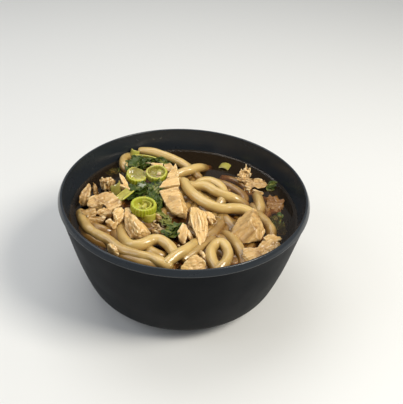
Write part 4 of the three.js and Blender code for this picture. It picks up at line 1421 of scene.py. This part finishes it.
class UDON_OT_leaves(bpy.types.Operator):
    """Crumples the boiled leaves."""
    bl_idname = "udon.leaves"
    bl_label = "Leaves"

    def execute(self, context):
        material = boiled_leaf(context.scene.udon_greens)
        for number, (at, length, width, turn, rise, pale) in {**LEAVES, **SUNK_LEAVES}.items():
            rng = random.Random(number)
            along = Matrix.Rotation(math.radians(turn), 3, "Z") @ Vector((BLADE_ROW * length, 0, 0))
            blades = []
            for i in range(BLADES):
                blade = crumpled_leaf(
                    "blade", BLADE_SHARE[0] * length, BLADE_SHARE[1] * width, 10 * number + i)
                place = Vector(at) + along * (i / (BLADES - 1) - 0.5)
                place.z += rng.uniform(-1, 0.6)
                tilts = [rng.uniform(-tilt, tilt) for tilt in BLADE_TILT]
                lay(blade, place, turn + tilts[0], rise + tilts[1], tilts[2])
                blades.append(blade)
            piece = join(blades, f"leaf_{number:02d}_blades")
            keep_share(piece, "pale", pale)
            smooth(piece, 60)
            dress(piece, material, [f"leaf_{number:02d}"] if number in LEAVES else ())
        return {"FINISHED"}


# ---- Stage ----

FLOOR_SIZE = 8  # metres
CAMERA_PLACE = Vector((12.42, -330.96, 309.88)) * MM
CAMERA_RIGHT = Vector((0.9983, 0.0339, 0.0472))
CAMERA_UP = Vector((-0.0581, 0.5822, 0.8109))
CAMERA_LENS = 48.9

# Soft square lamps: name, place and size in metres, power in watts and colour.
LAMP_AIM = Vector((0, 0, 0.06))
LAMPS = [
    ("window", (0.7, -0.3, 0.95), 0.4, 12, "#fffaf0"),
    ("overhead", (-0.2, 0.35, 1.1), 0.8, 4.5, "#ffffff"),
    ("fill", (-0.8, -0.2, 0.7), 0.6, 2.7, "#f2f6ff"),
]
ROOM_COLOUR = "#eef1f5"
ROOM_STRENGTH = 0.4


def lamp(name, place, size, power, colour):
    """A soft square lamp that faces the bowl."""
    deselect()
    bpy.ops.object.light_add(type="AREA", location=place)
    light = added(name)
    light.data.size = size
    light.data.energy = power
    light.data.color = rgb(colour)[:3]
    light.rotation_euler = (LAMP_AIM - Vector(place)).to_track_quat("-Z", "Y").to_euler()


class UDON_OT_stage(bpy.types.Operator):
    """Sets the floor, the soft lamps and the camera."""
    bl_idname = "udon.stage"
    bl_label = "Stage"

    def execute(self, context):
        settings = context.scene.udon_stage
        deselect()
        bpy.ops.mesh.primitive_plane_add(size=FLOOR_SIZE)
        floor = added("floor")
        floor.data.materials.append(floor_paint(settings))

        for name, place, size, power, colour in LAMPS:
            lamp(name, place, size, power * settings.light, colour)

        world = bpy.data.worlds.new("Studio")
        world.use_nodes = True
        room = world.node_tree.nodes["Background"]
        room.inputs["Color"].default_value = rgb(ROOM_COLOUR)
        room.inputs["Strength"].default_value = ROOM_STRENGTH * settings.light
        context.scene.world = world
        context.scene.view_settings.view_transform = "Standard"

        deselect()
        bpy.ops.object.camera_add()
        camera = added("camera")
        back = CAMERA_RIGHT.cross(CAMERA_UP).normalized()
        axes = Matrix((CAMERA_RIGHT, CAMERA_UP, back)).transposed().to_4x4()
        camera.matrix_world = Matrix.Translation(CAMERA_PLACE) @ axes
        camera.data.sensor_width = 36
        camera.data.lens = CAMERA_LENS
        camera.data.clip_start = 0.01
        context.scene.camera = camera
        return {"FINISHED"}


# ---- Panel and registration ----


class UDON_PT_panel(bpy.types.Panel):
    """Lists the pieces and their settings."""
    bl_label = "Udon Bowl"
    bl_idname = "UDON_PT_panel"
    bl_space_type = "VIEW_3D"
    bl_region_type = "UI"
    bl_category = "Udon Bowl"

    def draw(self, context):
        layout = self.layout
        for operator in OPERATORS:
            layout.operator(operator.bl_idname)
        for name, group in SETTINGS.items():
            box = layout.box()
            for key in group.__annotations__:
                box.prop(getattr(context.scene, name), key)


SETTINGS = {
    "udon_bowl": BowlSettings,
    "udon_broth": BrothSettings,
    "udon_noodles": NoodleSettings,
    "udon_chicken": ChickenSettings,
    "udon_greens": GreensSettings,
    "udon_stage": StageSettings,
}
OPERATORS = [UDON_OT_stage, UDON_OT_bowl, UDON_OT_noodles, UDON_OT_chicken, UDON_OT_scallion,
             UDON_OT_leaves, UDON_OT_broth, UDON_OT_crumbs]


def register():
    for name, group in SETTINGS.items():
        bpy.utils.register_class(group)
        setattr(bpy.types.Scene, name, PointerProperty(type=group))
    for operator in OPERATORS:
        bpy.utils.register_class(operator)
    bpy.utils.register_class(UDON_PT_panel)


def unregister():
    bpy.utils.unregister_class(UDON_PT_panel)
    for operator in reversed(OPERATORS):
        bpy.utils.unregister_class(operator)
    for name, group in SETTINGS.items():
        delattr(bpy.types.Scene, name)
        bpy.utils.unregister_class(group)


def main():
    register()
    bpy.ops.udon.stage()
    bpy.ops.udon.bowl()
    bpy.ops.udon.noodles()
    bpy.ops.udon.chicken()
    bpy.ops.udon.scallion()
    bpy.ops.udon.leaves()
    bpy.ops.udon.broth()
    # The crumbs come last, as they fall onto all the other pieces.
    bpy.ops.udon.crumbs()


if __name__ == "__main__":
    main()
